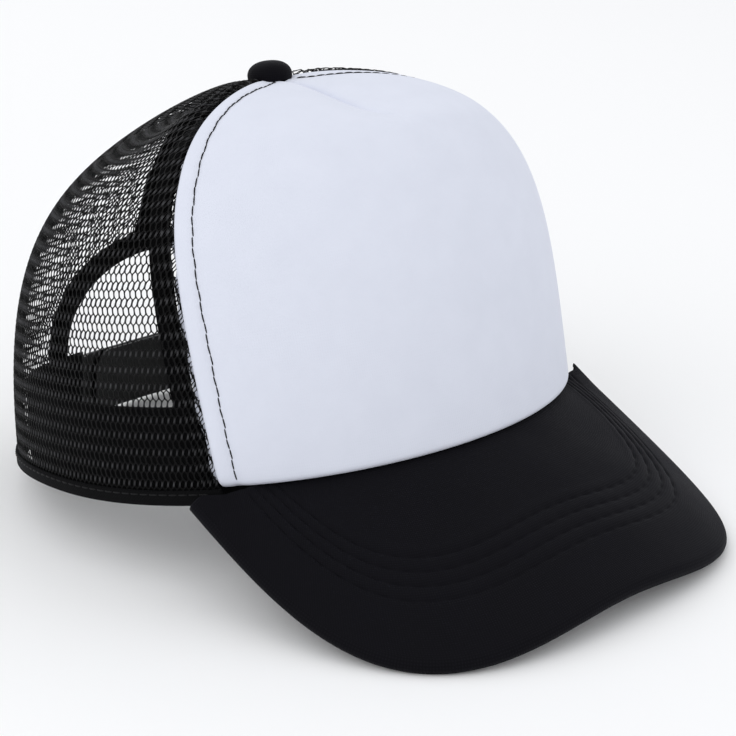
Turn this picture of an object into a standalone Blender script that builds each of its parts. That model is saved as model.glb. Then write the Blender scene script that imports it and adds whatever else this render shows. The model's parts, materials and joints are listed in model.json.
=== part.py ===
"""Trucker mesh cap: foam front panel, four mesh panels, curved brim and snap strap.

Units are metres. Everything is first placed in the cap's own frame: the sides of
the rim lie at z = 0, the brim points to -Y and +Z is up. The whole cap is then
tipped back a little, because it rests on a table on its brim and its back hem.

phi is the angle round the crown, 0 at the forehead and positive towards +X.
s runs from 0 at the rim to 1 at the top of the crown.
Offsets are measured outwards from the crown's outer surface.
"""
import math

import bmesh
import bpy
from mathutils import Matrix, Vector

# Rim and crown
RIM_HALF_WIDTH = 0.0955
RIM_HALF_LENGTH = 0.0925
RIM_FRONT_RISE = 0.0038
RIM_BACK_RISE = -0.0104
CROWN_HEIGHT = 0.114
APEX_FORWARD = 0.0043
APEX_HOLE_S = 0.984
TOP_SHAPE_LOW_S = 0.59
DART_VALLEY = 0.0098
DART_VALLEY_POWER = 1.3
DART_VALLEY_FLANK = 1.6
SEAM_RIDGE = 0.0078
SEAM_RIDGE_WIDTH = 0.35

# Shape of the crown wall at the forehead, the temples and the nape
WALL_LEAN = (-0.0089, 0.0, -0.0071)
WALL_FULLNESS = (0.617, 0.713, 0.520)
TOP_FULLNESS = (0.950, 0.900, 0.549)
TOP_RISE = (0.0213, -0.0132, 0.0098)

# Seams between the panels
FRONT_SEAM_LOW = math.radians(53.2)
FRONT_SEAM_HIGH = math.radians(64.9)
FRONT_SEAM_BOW = math.radians(1.6)
REAR_SEAM = math.radians(117)
CENTER_BACK = math.radians(180)
PANEL_GAP = 0.0004
FOAM_EDGE_GAP = 0.0015

# Layers, as the offset of each piece's outer face and its thickness
COVER_FACE, COVER_THICKNESS = 0.0, 0.0008
FOAM_FACE, FOAM_THICKNESS = -0.0012, 0.003
MESH_FACE, MESH_THICKNESS = -0.001, 0.001
TAPE_FACE, TAPE_THICKNESS = -0.0028, 0.0006
DART_TAPE_FACE = -0.0047
SWEATBAND_FACE, SWEATBAND_THICKNESS = -0.0051, 0.0012
STRAP_FACE, STRAP_THICKNESS = -0.0038, 0.001
FRONT_PANEL_LIFT = 0.0049
SWEATBAND_LOW, SWEATBAND_HIGH = 0.0006, 0.029

# Seam tapes
FRONT_TAPE_START, FRONT_TAPE_END = 0.0022, 0.0092
REAR_TAPE_HALF = 0.006
BACK_TAPE_HALF = 0.0073
DART_TAPE_HALF = 0.005
DART_LENGTH_S = 0.34
TAPE_TOP_S = 0.95
TAPE_LOW = 0.0065

# Rear opening above the strap
ARCH_HALF_ANGLE = math.radians(31.2)
ARCH_HEIGHT = 0.0615
ARCH_SQUARENESS = 0.72
ARCH_PINCH = 0.34
ARCH_PINCH_POWER = 2
BINDING_WIDTH = 0.0060
BINDING_CLEARANCE = 0.0024
BINDING_EDGE_OUT = 0.0014
BINDING_EDGE_IN = 0.0008
BINDING_OUTER = (0.0003, -0.0004)
BINDING_INNER = (-0.0027, -0.0034)
HEM_WIDTH = 0.005

# Snap strap
STRAP_LOW, STRAP_HIGH = 0.003, 0.0260
STRAP_PITCH = 0.0095
STRAP_END_TO_PEG = 0.0055
PEG_COUNT = 5
ENGAGED_STEPS = 4
HINGE_INSET = 0.0020
HINGE_TO_STRAP = 0.0003
HINGE_TO_TAB = 0.0012
STRAP_TIP_RADIUS = 0.008
STRAP_TIP_CROWDING = 1.6
STRAP_STEP_TO_TIP = 0.003
HOLE_STRAP_RAISED_FACE = -0.0024
TAB_LENGTH = 0.014
PEG_RADIUS = 0.0018
PEG_HEIGHT = 0.0027
HOLE_RADIUS = 0.0026
HOLE_CUT_REACH = 0.003
BARTACK_LOW, BARTACK_HIGH = 0.008, 0.019
BARTACK_TO_HINGE = 0.0085
BARTACK_FACE = 0.0003

# Brim
BRIM_HALF_ANGLE = math.radians(55.6)
BRIM_HALF_WIDTH = 0.0828
BRIM_LENGTH = 0.0530
BRIM_SQUARENESS = 3.15
BRIM_SLOPE = math.radians(32.3)
BRIM_ARCH_RADIUS = 0.141
BRIM_SEAT = 0.0024
BRIM_TUCK = -0.0036
BRIM_END_OFFSET = 0.0029
TUCK_END = math.radians(46)
TUCK_GONE = math.radians(52)
BOARD_THICKNESS = 0.0012
BRIM_COVER_THICKNESS = 0.0008
BRIM_EDGE_RADIUS = 0.0019
EDGE_ROLL = math.radians(75)
BOARD_END = 0.04
STITCH_ROW_FIRST = 0.0185
STITCH_ROW_PITCH = 0.0050
STITCH_ROWS = 4
STITCH_ROW_STOP = 0.10
EDGE_ROLL_SHARE = 0.24

# Threads and button
THREAD_RADIUS = 0.00025
THREAD_GAP = 0.0003
TOPSTITCH_INSET = 0.0062
TOPSTITCH_TOP_S = 0.94
TOPSTITCH_RISE = 0.001
BUTTON_RADIUS = 0.0070
BUTTON_HEIGHT = 0.0078
BUTTON_GAP = 0.0004
BUTTON_UNDER_SHARE = 0.94
BUTTON_EDGE_LIFT = 0.0006
BUTTON_ROUNDNESS = 0.75
PRONG_PLATE_RADIUS = 0.006
PRONG_PLATE_DROP = 0.0064
PRONG_PLATE_THICKNESS = 0.001
PRONG_RADIUS = 0.0015

REST_TILT = math.radians(7.3)

WHITE = (0.76, 0.79, 0.87)
BLACK = (0.012, 0.012, 0.014)
DARK = (0.020, 0.020, 0.022)
STEEL = (0.55, 0.55, 0.56)


# ---------------------------------------------------------------- crown shape

def three_way(values, phi):
    """A value that blends from the forehead to the temples to the nape."""
    front, side, back = values
    mean = (front + back) / 2
    first = (front - back) / 2 * math.cos(phi)
    second = (mean - side) / 2 * math.cos(2 * phi)
    return (mean + side) / 2 + first + second


def rim_point(phi):
    forward = math.cos(phi)
    rise = RIM_FRONT_RISE if forward > 0 else RIM_BACK_RISE
    return Vector((RIM_HALF_WIDTH * math.sin(phi), -RIM_HALF_LENGTH * forward, rise * forward ** 2))


def bezier(p0, p1, p2, p3, t):
    k = 1 - t
    return k ** 3 * p0 + 3 * k * k * t * p1 + 3 * k * t * t * p2 + t ** 3 * p3


def crown_surface(phi, s):
    """Point on the crown's outer surface: one cubic curve from the rim to the top."""
    rim = rim_point(phi)
    centre = Vector((0, -APEX_FORWARD, 0))
    outward = Vector((rim.x, rim.y + APEX_FORWARD, 0))
    radius = outward.length
    wall_height = rim.z + three_way(WALL_FULLNESS, phi) * (CROWN_HEIGHT - rim.z)
    top_height = CROWN_HEIGHT + three_way(TOP_RISE, phi)
    wall_radius = radius + three_way(WALL_LEAN, phi)
    top_radius = radius * three_way(TOP_FULLNESS, phi)
    r = bezier(radius, wall_radius, top_radius, 0, s)
    z = bezier(rim.z, wall_height, top_height, CROWN_HEIGHT, s) + top_shaping(phi, s)
    return centre + outward / radius * r + Vector((0, 0, z))


def top_shaping(phi, s):
    """Height added near the top: a crease along the dart and a ridge along each front seam."""
    climbed = min(max((s - TOP_SHAPE_LOW_S) / (1 - TOP_SHAPE_LOW_S), 0), 1)
    turn, seam = abs(math.remainder(phi, 2 * math.pi)), front_seam(s)
    valley = DART_VALLEY * math.sin(math.pi * climbed) ** DART_VALLEY_POWER
    valley *= max(1 - turn / seam, 0) ** DART_VALLEY_FLANK
    ridge = SEAM_RIDGE * climbed * math.sqrt(1 - climbed)
    return ridge * math.exp(-((turn - seam) / SEAM_RIDGE_WIDTH) ** 2) - valley


def crown_slopes(phi, s):
    """The surface's two derivatives, along phi and along s."""
    step = 1e-4
    along_phi = (crown_surface(phi + step, s) - crown_surface(phi - step, s)) / (2 * step)
    along_s = (crown_surface(phi, s + step) - crown_surface(phi, s - step)) / (2 * step)
    return along_phi, along_s


def crown_point(phi, s, offset=0.0):
    along_phi, along_s = crown_slopes(phi, s)
    normal = along_phi.cross(along_s).normalized()
    return crown_surface(phi, s) + normal * offset


def crown_radius(phi, s):
    """Distance from the axis through the top of the crown."""
    point = crown_surface(phi, s)
    return math.hypot(point.x, point.y + APEX_FORWARD)


def s_at_height(phi, height):
    """The s at which the crown wall is this far above its own rim."""
    target = rim_point(phi).z + height
    low, high = -0.1, 0.7
    for _ in range(24):
        middle = (low + high) / 2
        if crown_surface(phi, middle).z < target:
            low = middle
        else:
            high = middle
    return low


def front_seam(s):
    bow = FRONT_SEAM_BOW * 4 * s * (1 - s)
    return FRONT_SEAM_LOW + (FRONT_SEAM_HIGH - FRONT_SEAM_LOW) * s + bow


def half_gap(phi, s):
    return PANEL_GAP / 2 / crown_radius(phi, s)


# ---------------------------------------------------------------- object tools

def make_material(name, colour, roughness, metallic=0.0):
    material = bpy.data.materials.new(name)
    material.use_nodes = True
    shader = material.node_tree.nodes["Principled BSDF"]
    shader.inputs["Base Color"].default_value = (*colour, 1)
    shader.inputs["Roughness"].default_value = roughness
    shader.inputs["Metallic"].default_value = metallic
    return material


def add_object(name, data, material):
    part = bpy.data.objects.new(name, data)
    if material is not None:
        data.materials.append(material)
    bpy.data.collections["trucker_cap"].objects.link(part)
    part.parent = bpy.data.objects["cap_frame"]
    return part


def mesh_from(name, bm):
    mesh = bpy.data.meshes.new(name)
    bm.to_mesh(mesh)
    bm.free()
    mesh.shade_smooth()
    mesh.set_sharp_from_angle(angle=math.radians(40))
    return mesh


def add_surface(name, point, columns, rows, material):
    """Open surface through point(u, v), with u and v running from 0 to 1."""
    bm = bmesh.new()
    bmesh.ops.create_grid(bm, x_segments=columns, y_segments=rows, size=0.5)
    for vert in bm.verts:
        vert.co = point(vert.co.x + 0.5, vert.co.y + 0.5)
    return add_object(name, mesh_from(name, bm), material)


def add_shell(name, point, columns, rows, thickness, material):
    """Surface thickened inwards into a closed solid."""
    part = add_surface(name, point, columns, rows, material)
    solidify = part.modifiers.new("thickness", "SOLIDIFY")
    solidify.thickness = thickness
    solidify.offset = -1
    return part


def add_thread(name, points, material):
    """Round thread through the points, with closed ends."""
    curve = bpy.data.curves.new(name, "CURVE")
    curve.dimensions = "3D"
    curve.bevel_depth = THREAD_RADIUS
    curve.bevel_resolution = 1
    curve.use_fill_caps = True
    spline = curve.splines.new("POLY")
    spline.points.add(len(points) - 1)
    for target, point in zip(spline.points, points):
        target.co = (*point, 1)
    return add_object(name, curve, material)


def add_ribbon_solid(name, section_at, stations, material):
    """Closed solid swept through the sections section_at(t), with t from 0 to 1."""
    bm = bmesh.new()
    rings = [[bm.verts.new(p) for p in section_at(i / stations)] for i in range(stations + 1)]
    for ring, following in zip(rings, rings[1:]):
        for i in range(len(ring)):
            j = (i + 1) % len(ring)
            bm.faces.new((ring[i], ring[j], following[j], following[i]))
    bm.faces.new(reversed(rings[0]))
    bm.faces.new(rings[-1])
    bmesh.ops.recalc_face_normals(bm, faces=bm.faces)
    return add_object(name, mesh_from(name, bm), material)


def add_boolean(part, cutter, operation):
    boolean = part.modifiers.new(operation.lower(), "BOOLEAN")
    boolean.object = cutter
    boolean.operation = operation
    boolean.solver = "EXACT"
    bpy.data.collections["trucker_cap"].objects.unlink(cutter)
    bpy.data.collections["cutters"].objects.link(cutter)
    cutter.hide_render = True
    cutter.display_type = "WIRE"


def outward_matrix(position, direction):
    turn = direction.to_track_quat("Z", "Y").to_matrix().to_4x4()
    return Matrix.Translation(position) @ turn


# ---------------------------------------------------------------- front panel

def front_panel_point(face, gap):
    def point(u, v):
        low = s_at_height(0, FRONT_PANEL_LIFT)
        s = low + (APEX_HOLE_S - low) * v
        edge = front_seam(s) - gap / crown_radius(front_seam(s), s)
        return crown_point(edge * (2 * u - 1), s, face)
    return point


def build_front_panel(white, foam):
    cover_point = front_panel_point(COVER_FACE, PANEL_GAP / 2)
    foam_point = front_panel_point(FOAM_FACE, FOAM_EDGE_GAP)
    add_shell("front_panel_cover", cover_point, 16, 16, COVER_THICKNESS, white)
    add_shell("front_panel_foam", foam_point, 16, 16, FOAM_THICKNESS, foam)


def build_topstitches(material):
    for side, name in ((-1, "right"), (1, "left")):
        points = []
        low = s_at_height(0, FRONT_PANEL_LIFT + TOPSTITCH_RISE)
        for i in range(17):
            s = low + (TOPSTITCH_TOP_S - low) * i / 16
            phi = front_seam(s) - TOPSTITCH_INSET / crown_radius(front_seam(s), s)
            points.append(crown_point(side * phi, s, THREAD_GAP + THREAD_RADIUS))
        add_thread("front_topstitch_" + name, points, material)


# ---------------------------------------------------------------- mesh panels

def side_mesh_point(side):
    def point(u, v):
        s = APEX_HOLE_S * v
        front = front_seam(s) + half_gap(front_seam(s), s)
        back = REAR_SEAM - half_gap(REAR_SEAM, s)
        phi = front + (back - front) * (u if side > 0 else 1 - u)
        return crown_point(side * phi, s, MESH_FACE)
    return point


def arch_place(t):
    """phi and s on the rear opening's edge, for t from 0 (left leg) to 1 (right leg)."""
    turn = math.pi * t
    height = ARCH_HEIGHT * math.sin(turn) ** ARCH_SQUARENESS if 0 < t < 1 else 0.0
    pinch = 1 - ARCH_PINCH * (1 - math.sin(turn)) ** ARCH_PINCH_POWER
    phi = CENTER_BACK - ARCH_HALF_ANGLE * math.cos(turn) * pinch
    return phi, s_at_height(phi, height)


def rear_mesh_point(side):
    """Four-sided patch between the rim, the rear seam, the centre back and the arch."""
    leg = arch_place(0)
    top = arch_place(0.5)

    def rim_side(u):
        return leg[0] + (REAR_SEAM - leg[0]) * u, 0.0

    def top_side(u):
        return CENTER_BACK + (REAR_SEAM - CENTER_BACK) * u, APEX_HOLE_S

    def seam_side(v):
        return REAR_SEAM, APEX_HOLE_S * v

    def blended(u, v):
        # The arch is followed first and the centre line after it
        arch_share = 0.5
        if v < arch_share:
            inner = arch_place(0.5 * v / arch_share)
        else:
            climb = (v - arch_share) / (1 - arch_share)
            inner = (CENTER_BACK, top[1] + (APEX_HOLE_S - top[1]) * climb)
        corners = []
        for k in (0, 1):
            across = (1 - u) * inner[k] + u * seam_side(v)[k]
            along = (1 - v) * rim_side(u)[k] + v * top_side(u)[k]
            low = (1 - u) * leg[k] + u * rim_side(1)[k]
            high = (1 - u) * top_side(0)[k] + u * top_side(1)[k]
            corners.append(across + along - (1 - v) * low - v * high)
        return corners

    def point(u, v):
        phi, s = blended(u if side < 0 else 1 - u, v)
        clear = half_gap(phi, s)
        phi = min(max(phi, REAR_SEAM + clear), CENTER_BACK - clear)
        return crown_point(side * phi, s, MESH_FACE)
    return point


def build_mesh_panels(material):
    for side, name in ((-1, "right"), (1, "left")):
        add_shell("side_mesh_" + name, side_mesh_point(side), 8, 11, MESH_THICKNESS, material)
        add_shell("rear_mesh_" + name, rear_mesh_point(side), 6, 14, MESH_THICKNESS, material)


# ---------------------------------------------------------------- tapes and sweatband

def tape_point(edges, low, top, face):
    """Strip between two angles, which edges(s) gives in metres from a seam angle."""
    def point(u, v):
        s = low + (top - low) * v
        seam, start, end = edges(s)
        radius = crown_radius(seam, s)
        narrow = min(1.0, radius / 0.020)
        phi = seam + (start + (end - start) * u) * narrow / radius
        return crown_point(phi, s, face)
    return point


def build_tapes(material):
    def front_right(s):
        return -front_seam(s), -FRONT_TAPE_END, -FRONT_TAPE_START

    def front_left(s):
        return front_seam(s), FRONT_TAPE_START, FRONT_TAPE_END

    def rear_right(s):
        return -REAR_SEAM, -REAR_TAPE_HALF, REAR_TAPE_HALF

    def rear_left(s):
        return REAR_SEAM, -REAR_TAPE_HALF, REAR_TAPE_HALF

    def center_back(s):
        return CENTER_BACK, -BACK_TAPE_HALF, BACK_TAPE_HALF

    def dart(s):
        return 0.0, -DART_TAPE_HALF, DART_TAPE_HALF

    low = s_at_height(REAR_SEAM, TAPE_LOW)
    above_arch = s_at_height(CENTER_BACK, ARCH_HEIGHT + BINDING_WIDTH + BINDING_CLEARANCE)
    strips = (
        ("front_seam_tape_right", front_right, low, TAPE_FACE),
        ("front_seam_tape_left", front_left, low, TAPE_FACE),
        ("rear_seam_tape_right", rear_right, low, TAPE_FACE),
        ("rear_seam_tape_left", rear_left, low, TAPE_FACE),
        ("center_back_tape", center_back, above_arch, TAPE_FACE),
        ("dart_tape", dart, 1 - DART_LENGTH_S, DART_TAPE_FACE),
    )
    for name, edges, start, face in strips:
        rows = max(6, round(12 * (TAPE_TOP_S - start)))
        add_shell(name, tape_point(edges, start, TAPE_TOP_S, face), 2, rows, TAPE_THICKNESS, material)


def build_sweatband(material):
    leg_phi = arch_place(0)[0]
    end = leg_phi - BINDING_CLEARANCE / RIM_HALF_WIDTH

    def point(u, v):
        phi = end * (2 * u - 1)
        height = SWEATBAND_LOW + (SWEATBAND_HIGH - SWEATBAND_LOW) * v
        return crown_point(phi, s_at_height(phi, height), SWEATBAND_FACE)
    add_shell("sweatband", point, 44, 2, SWEATBAND_THICKNESS, material)


# ---------------------------------------------------------------- bindings

def binding_section(place, t, width):
    """U-shaped section round a fabric edge; place(t) gives phi and s along the edge."""
    step = 1e-3
    before = place(max(t - step, 0))
    after = place(min(t + step, 1))
    phi, s = place(t)
    along_phi, along_s = crown_slopes(phi, s)
    path = along_phi * (after[0] - before[0]) + along_s * (after[1] - before[1])
    normal = along_phi.cross(along_s).normalized()
    into_fabric = normal.cross(path).normalized()
    outer, inner = BINDING_OUTER, BINDING_INNER
    outline = (
        (width, outer[0]), (-BINDING_EDGE_OUT, outer[0]),
        (-BINDING_EDGE_OUT, inner[1]), (width, inner[1]),
        (width, inner[0]), (-BINDING_EDGE_IN, inner[0]),
        (-BINDING_EDGE_IN, outer[1]), (width, outer[1]),
    )
    points = []
    for depth, offset in outline:
        d_phi = into_fabric.dot(along_phi) / along_phi.length_squared * depth
        d_s = into_fabric.dot(along_s) / along_s.length_squared * depth
        points.append(crown_point(phi + d_phi, s + d_s, offset))
    return points


def build_bindings(material):
    def arch_section(t):
        return binding_section(arch_place, t, BINDING_WIDTH)
    add_ribbon_solid("arch_binding", arch_section, 28, material)

    start = FRONT_SEAM_LOW + PANEL_GAP / RIM_HALF_WIDTH
    end = arch_place(0)[0] - (BINDING_WIDTH + BINDING_CLEARANCE) / RIM_HALF_WIDTH
    for name, first, last in (("right", -end, -start), ("left", start, end)):
        def rim_place(t, first=first, last=last):
            return first + (last - first) * t, 0.0

        def hem_section(t, place=rim_place):
            return binding_section(place, t, HEM_WIDTH)
        add_ribbon_solid("hem_" + name, hem_section, 20, material)


# ---------------------------------------------------------------- snap strap

def strap_angle(distance):
    return distance / RIM_HALF_WIDTH


def strap_tip_angle():
    return strap_angle(STRAP_END_TO_PEG + ENGAGED_STEPS / 2 * STRAP_PITCH)


def strap_hinge_angle():
    """Angle from the centre back to the line where each strap leaves the fabric."""
    height = STRAP_HIGH
    narrowest = min(
        CENTER_BACK - arch_place(t / 200)[0]
        for t in range(1, 40)
        if arch_place(t / 200)[1] < s_at_height(CENTER_BACK, height)
    )
    return narrowest - strap_angle(BINDING_EDGE_OUT + HINGE_INSET)


def strap_point(angle, height, offset):
    phi = CENTER_BACK - angle
    return crown_point(phi, s_at_height(phi, height), offset)


def strap_surface(side, face_at):
    """Strap from its hinge line to its rounded tip; side is +1 for the left strap."""
    hinge = strap_hinge_angle() - strap_angle(HINGE_TO_STRAP)
    length = (hinge + strap_tip_angle()) * RIM_HALF_WIDTH
    middle = (STRAP_LOW + STRAP_HIGH) / 2
    half_width = (STRAP_HIGH - STRAP_LOW) / 2

    def point(u, v):
        along = u if side < 0 else 1 - u
        to_tip = length * (1 - along) ** STRAP_TIP_CROWDING
        half = half_width
        if to_tip < STRAP_TIP_RADIUS:
            reach = STRAP_TIP_RADIUS - to_tip
            half -= STRAP_TIP_RADIUS - math.sqrt(STRAP_TIP_RADIUS ** 2 - reach ** 2)
        angle = side * (strap_angle(to_tip) - strap_tip_angle())
        return strap_point(angle, middle + half * (2 * v - 1), face_at(angle))
    return point


def hole_strap_face(angle):
    """The hole strap leaves the fabric level with its tab and steps over the pegs."""
    start, end = -strap_hinge_angle(), -strap_tip_angle() - strap_angle(STRAP_STEP_TO_TIP)
    share = min(max((angle - start) / (end - start), 0), 1)
    smooth = share * share * (3 - 2 * share)
    return STRAP_FACE + (HOLE_STRAP_RAISED_FACE - STRAP_FACE) * smooth


def add_pins(name, angles, radius, low_offset, high_offset, material):
    """Round pins across the strap at the given angles, as one mesh."""
    bm = bmesh.new()
    middle = (STRAP_LOW + STRAP_HIGH) / 2
    for angle in angles:
        base = strap_point(angle, middle, low_offset)
        top = strap_point(angle, middle, high_offset)
        matrix = outward_matrix((base + top) / 2, (top - base).normalized())
        depth = (top - base).length
        bmesh.ops.create_cone(bm, cap_ends=True, segments=12, radius1=radius, radius2=radius,
                              depth=depth, matrix=matrix)
    return add_object(name, mesh_from(name, bm), material)


def add_pivot(name, angle):
    """Empty on the strap's hinge line, with its Z axis along the line."""
    offset = STRAP_FACE - STRAP_THICKNESS / 2
    low = strap_point(angle, STRAP_LOW, offset)
    high = strap_point(angle, STRAP_HIGH, offset)
    pivot = bpy.data.objects.new(name, None)
    bpy.data.collections["trucker_cap"].objects.link(pivot)
    pivot.empty_display_size = 0.01
    pivot.parent = bpy.data.objects["cap_frame"]
    pivot.matrix_basis = outward_matrix((low + high) / 2, (high - low).normalized())
    return pivot


def hang_on_pivot(part, pivot):
    part.parent = pivot
    part.matrix_parent_inverse = pivot.matrix_basis.inverted()


def build_straps(material):
    steps = [STRAP_END_TO_PEG + STRAP_PITCH * k for k in range(PEG_COUNT)]
    peg_angles = [strap_angle(step) - strap_tip_angle() for step in steps]
    hole_angles = [strap_tip_angle() - strap_angle(step) for step in steps]

    peg_strap = add_shell("peg_strap", strap_surface(1, lambda angle: STRAP_FACE), 18, 2,
                          STRAP_THICKNESS, material)
    pegs = add_pins("pegs", peg_angles, PEG_RADIUS, STRAP_FACE - STRAP_THICKNESS / 2,
                    STRAP_FACE + PEG_HEIGHT, None)
    add_boolean(peg_strap, pegs, "UNION")

    hole_strap = add_shell("hole_strap", strap_surface(-1, hole_strap_face), 18, 2,
                           STRAP_THICKNESS, material)
    holes = add_pins("strap_holes", hole_angles, HOLE_RADIUS, STRAP_FACE - HOLE_CUT_REACH,
                     HOLE_CUT_REACH, None)
    add_boolean(hole_strap, holes, "DIFFERENCE")

    for strap, pins, side in ((peg_strap, pegs, 1), (hole_strap, holes, -1)):
        pivot = add_pivot(strap.name + "_pivot", side * strap_hinge_angle())
        hang_on_pivot(strap, pivot)
        hang_on_pivot(pins, pivot)


def build_strap_tabs(material):
    for side, name in ((1, "peg_strap_tab"), (-1, "hole_strap_tab")):
        def point(u, v, side=side):
            inner = strap_hinge_angle() + strap_angle(HINGE_TO_TAB)
            distance = strap_angle(TAB_LENGTH) * (u if side < 0 else 1 - u)
            height = STRAP_LOW + (STRAP_HIGH - STRAP_LOW) * v
            return strap_point(side * (inner + distance), height, STRAP_FACE)
        add_shell(name, point, 4, 2, STRAP_THICKNESS, material)


def build_bartacks(material):
    """Short dense stitches through the binding, the tab and the sweatband."""
    for side, name in ((1, "left"), (-1, "right")):
        points = []
        for i in range(5):
            height = BARTACK_LOW + (BARTACK_HIGH - BARTACK_LOW) * i / 4
            angle = strap_hinge_angle() + strap_angle(BARTACK_TO_HINGE)
            face = BARTACK_FACE + THREAD_GAP + THREAD_RADIUS
            points.append(strap_point(side * angle, height, face))
        add_thread("bartack_" + name, points, material)


# ---------------------------------------------------------------- button

def build_button(cloth, steel):
    rings, segments = 6, 20

    def shell_point(u, v):
        """From the hollow underside's centre (v = 0) out to the edge and up to the top."""
        turn = -2 * math.pi * u
        edge_share = 0.25
        if v < edge_share:
            radius = BUTTON_RADIUS * BUTTON_UNDER_SHARE * v / edge_share
            height = under_height(turn, radius)
        else:
            climb = (v - edge_share) / (1 - edge_share) * math.pi / 2
            lift = math.sin(climb)
            radius = BUTTON_RADIUS * math.cos(climb) ** BUTTON_ROUNDNESS if lift < 1 else 0.0
            base = under_height(turn, BUTTON_RADIUS) + BUTTON_EDGE_LIFT
            top = CROWN_HEIGHT + BUTTON_HEIGHT
            height = base + (top - base) * lift
        x, y = radius * math.sin(turn), -radius * math.cos(turn)
        return Vector((x, y - APEX_FORWARD, height))

    def under_height(turn, radius):
        """The button's underside follows the panels, a small gap above them."""
        s = 1.0
        while crown_radius(turn, s) < radius:
            s -= 0.001
        return crown_surface(turn, s).z + BUTTON_GAP

    bm = bmesh.new()
    bmesh.ops.create_grid(bm, x_segments=segments, y_segments=rings + 1, size=0.5)
    for vert in bm.verts:
        vert.co = shell_point(vert.co.x + 0.5, vert.co.y + 0.5)
    bmesh.ops.remove_doubles(bm, verts=bm.verts, dist=1e-5)
    bmesh.ops.recalc_face_normals(bm, faces=bm.faces)
    add_object("button_shell", mesh_from("button_shell", bm), cloth)

    plate_top = CROWN_HEIGHT - PRONG_PLATE_DROP
    prong_top = CROWN_HEIGHT - BUTTON_GAP
    profile = (
        (0.0, prong_top), (PRONG_RADIUS, prong_top), (PRONG_RADIUS, plate_top),
        (PRONG_PLATE_RADIUS, plate_top), (PRONG_PLATE_RADIUS, plate_top - PRONG_PLATE_THICKNESS),
        (0.0, plate_top - PRONG_PLATE_THICKNESS),
    )
    bm = bmesh.new()
    verts = [bm.verts.new((r, 0, z)) for r, z in profile]
    for first, second in zip(verts, verts[1:]):
        bm.edges.new((first, second))
    plate = add_object("button_back", mesh_from("button_back", bm), steel)
    plate.location.y = -APEX_FORWARD
    screw = plate.modifiers.new("turn", "SCREW")
    screw.steps = 20
    screw.render_steps = 20
    screw.use_merge_vertices = True
    screw.merge_threshold = 1e-5


# ---------------------------------------------------------------- brim

def brim_height(x, y):
    """The brim is bent round a cylinder whose axis slopes down to the front."""
    drop = math.tan(BRIM_SLOPE) * (-y - RIM_HALF_LENGTH)
    arch = BRIM_ARCH_RADIUS - math.sqrt(BRIM_ARCH_RADIUS ** 2 - x * x)
    return RIM_FRONT_RISE - drop - arch


def brim_outline(u):
    """The flat outline: a squarish half oval from the right end to the left end."""
    back = -RIM_HALF_LENGTH * math.cos(BRIM_HALF_ANGLE)
    reach = RIM_HALF_LENGTH + BRIM_LENGTH + back
    turn = math.pi * u
    n = BRIM_SQUARENESS
    across = abs(math.cos(turn)) / BRIM_HALF_WIDTH
    forward = abs(math.sin(turn)) / reach
    radius = (across ** n + forward ** n) ** (-1 / n)
    return Vector((-radius * math.cos(turn), back - radius * math.sin(turn)))


def brim_tuck(phi):
    """The brim reaches under the front panel, and its ends lie outside the hem."""
    share = min(max((abs(phi) - TUCK_END) / (TUCK_GONE - TUCK_END), 0), 1)
    return BRIM_TUCK + (BRIM_END_OFFSET - BRIM_TUCK) * share


def brim_middle(u, v):
    """Point on the brim's middle surface, from the crown (v = 0) to the edge (v = 1)."""
    phi = BRIM_HALF_ANGLE * (2 * u - 1)
    seat = crown_point(phi, s_at_height(phi, BRIM_SEAT), brim_tuck(phi))
    edge = brim_outline(u)
    flat = Vector((seat.x, seat.y)).lerp(edge, v)
    level = brim_height(flat.x, flat.y) + BRIM_SEAT * (1 - v)
    seat_error = seat.z - brim_height(seat.x, seat.y) - BRIM_SEAT
    return Vector((flat.x, flat.y, level + seat_error * (1 - v) ** 2))


def brim_normal(point):
    """Unit normal of the brim's bent surface, upwards."""
    side_slope = -point.x / math.sqrt(BRIM_ARCH_RADIUS ** 2 - point.x ** 2)
    return Vector((-side_slope, -math.tan(BRIM_SLOPE), 1)).normalized()


def brim_outward(u, normal):
    """Direction away from the brim's outline, in its surface."""
    step = 1e-3
    along = brim_outline(min(u + step, 1)) - brim_outline(max(u - step, 0))
    flat = Vector((along.y, -along.x, 0)).normalized()
    return (flat - normal * flat.dot(normal)).normalized()


def brim_point(u, v, offset):
    middle = brim_middle(u, v)
    return middle + brim_normal(middle) * offset


def brim_cover_point(side, rolled=EDGE_ROLL_SHARE):
    """Cover face with its front edge rolled over; side is +1 for the top."""
    def point(u, v):
        flat_share = 1 - rolled
        if v <= flat_share:
            return brim_point(u, v / flat_share, side * BRIM_EDGE_RADIUS)
        angle = (v - flat_share) / rolled * EDGE_ROLL
        middle = brim_middle(u, 1)
        normal = brim_normal(middle)
        roll = brim_outward(u, normal) * math.sin(angle) + normal * side * math.cos(angle)
        return middle + roll * BRIM_EDGE_RADIUS
    return point


def build_brim(cloth, board):
    top = brim_cover_point(1)
    under = brim_cover_point(-1)
    add_shell("brim_top_cover", lambda u, v: top(1 - u, v), 24, 9, BRIM_COVER_THICKNESS, cloth)
    add_shell("brim_under_cover", under, 24, 9, BRIM_COVER_THICKNESS, cloth)

    def board_point(u, v):
        across = BOARD_END + (1 - 2 * BOARD_END) * (1 - u)
        return brim_point(across, v, BOARD_THICKNESS / 2)
    add_shell("brim_board", board_point, 24, 6, BOARD_THICKNESS, board)


def stitch_row_points(distance):
    """Points on the top cover at this distance from the brim's outline."""
    points = []
    count = 160
    for i in range(count + 1):
        u = i / count
        width = (brim_middle(u, 1) - brim_middle(u, 0)).length
        v = 1 - distance / width
        if v > STITCH_ROW_STOP and i % 5 == 0:
            points.append(brim_point(u, v, BRIM_EDGE_RADIUS + THREAD_GAP + THREAD_RADIUS))
    return points


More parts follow.
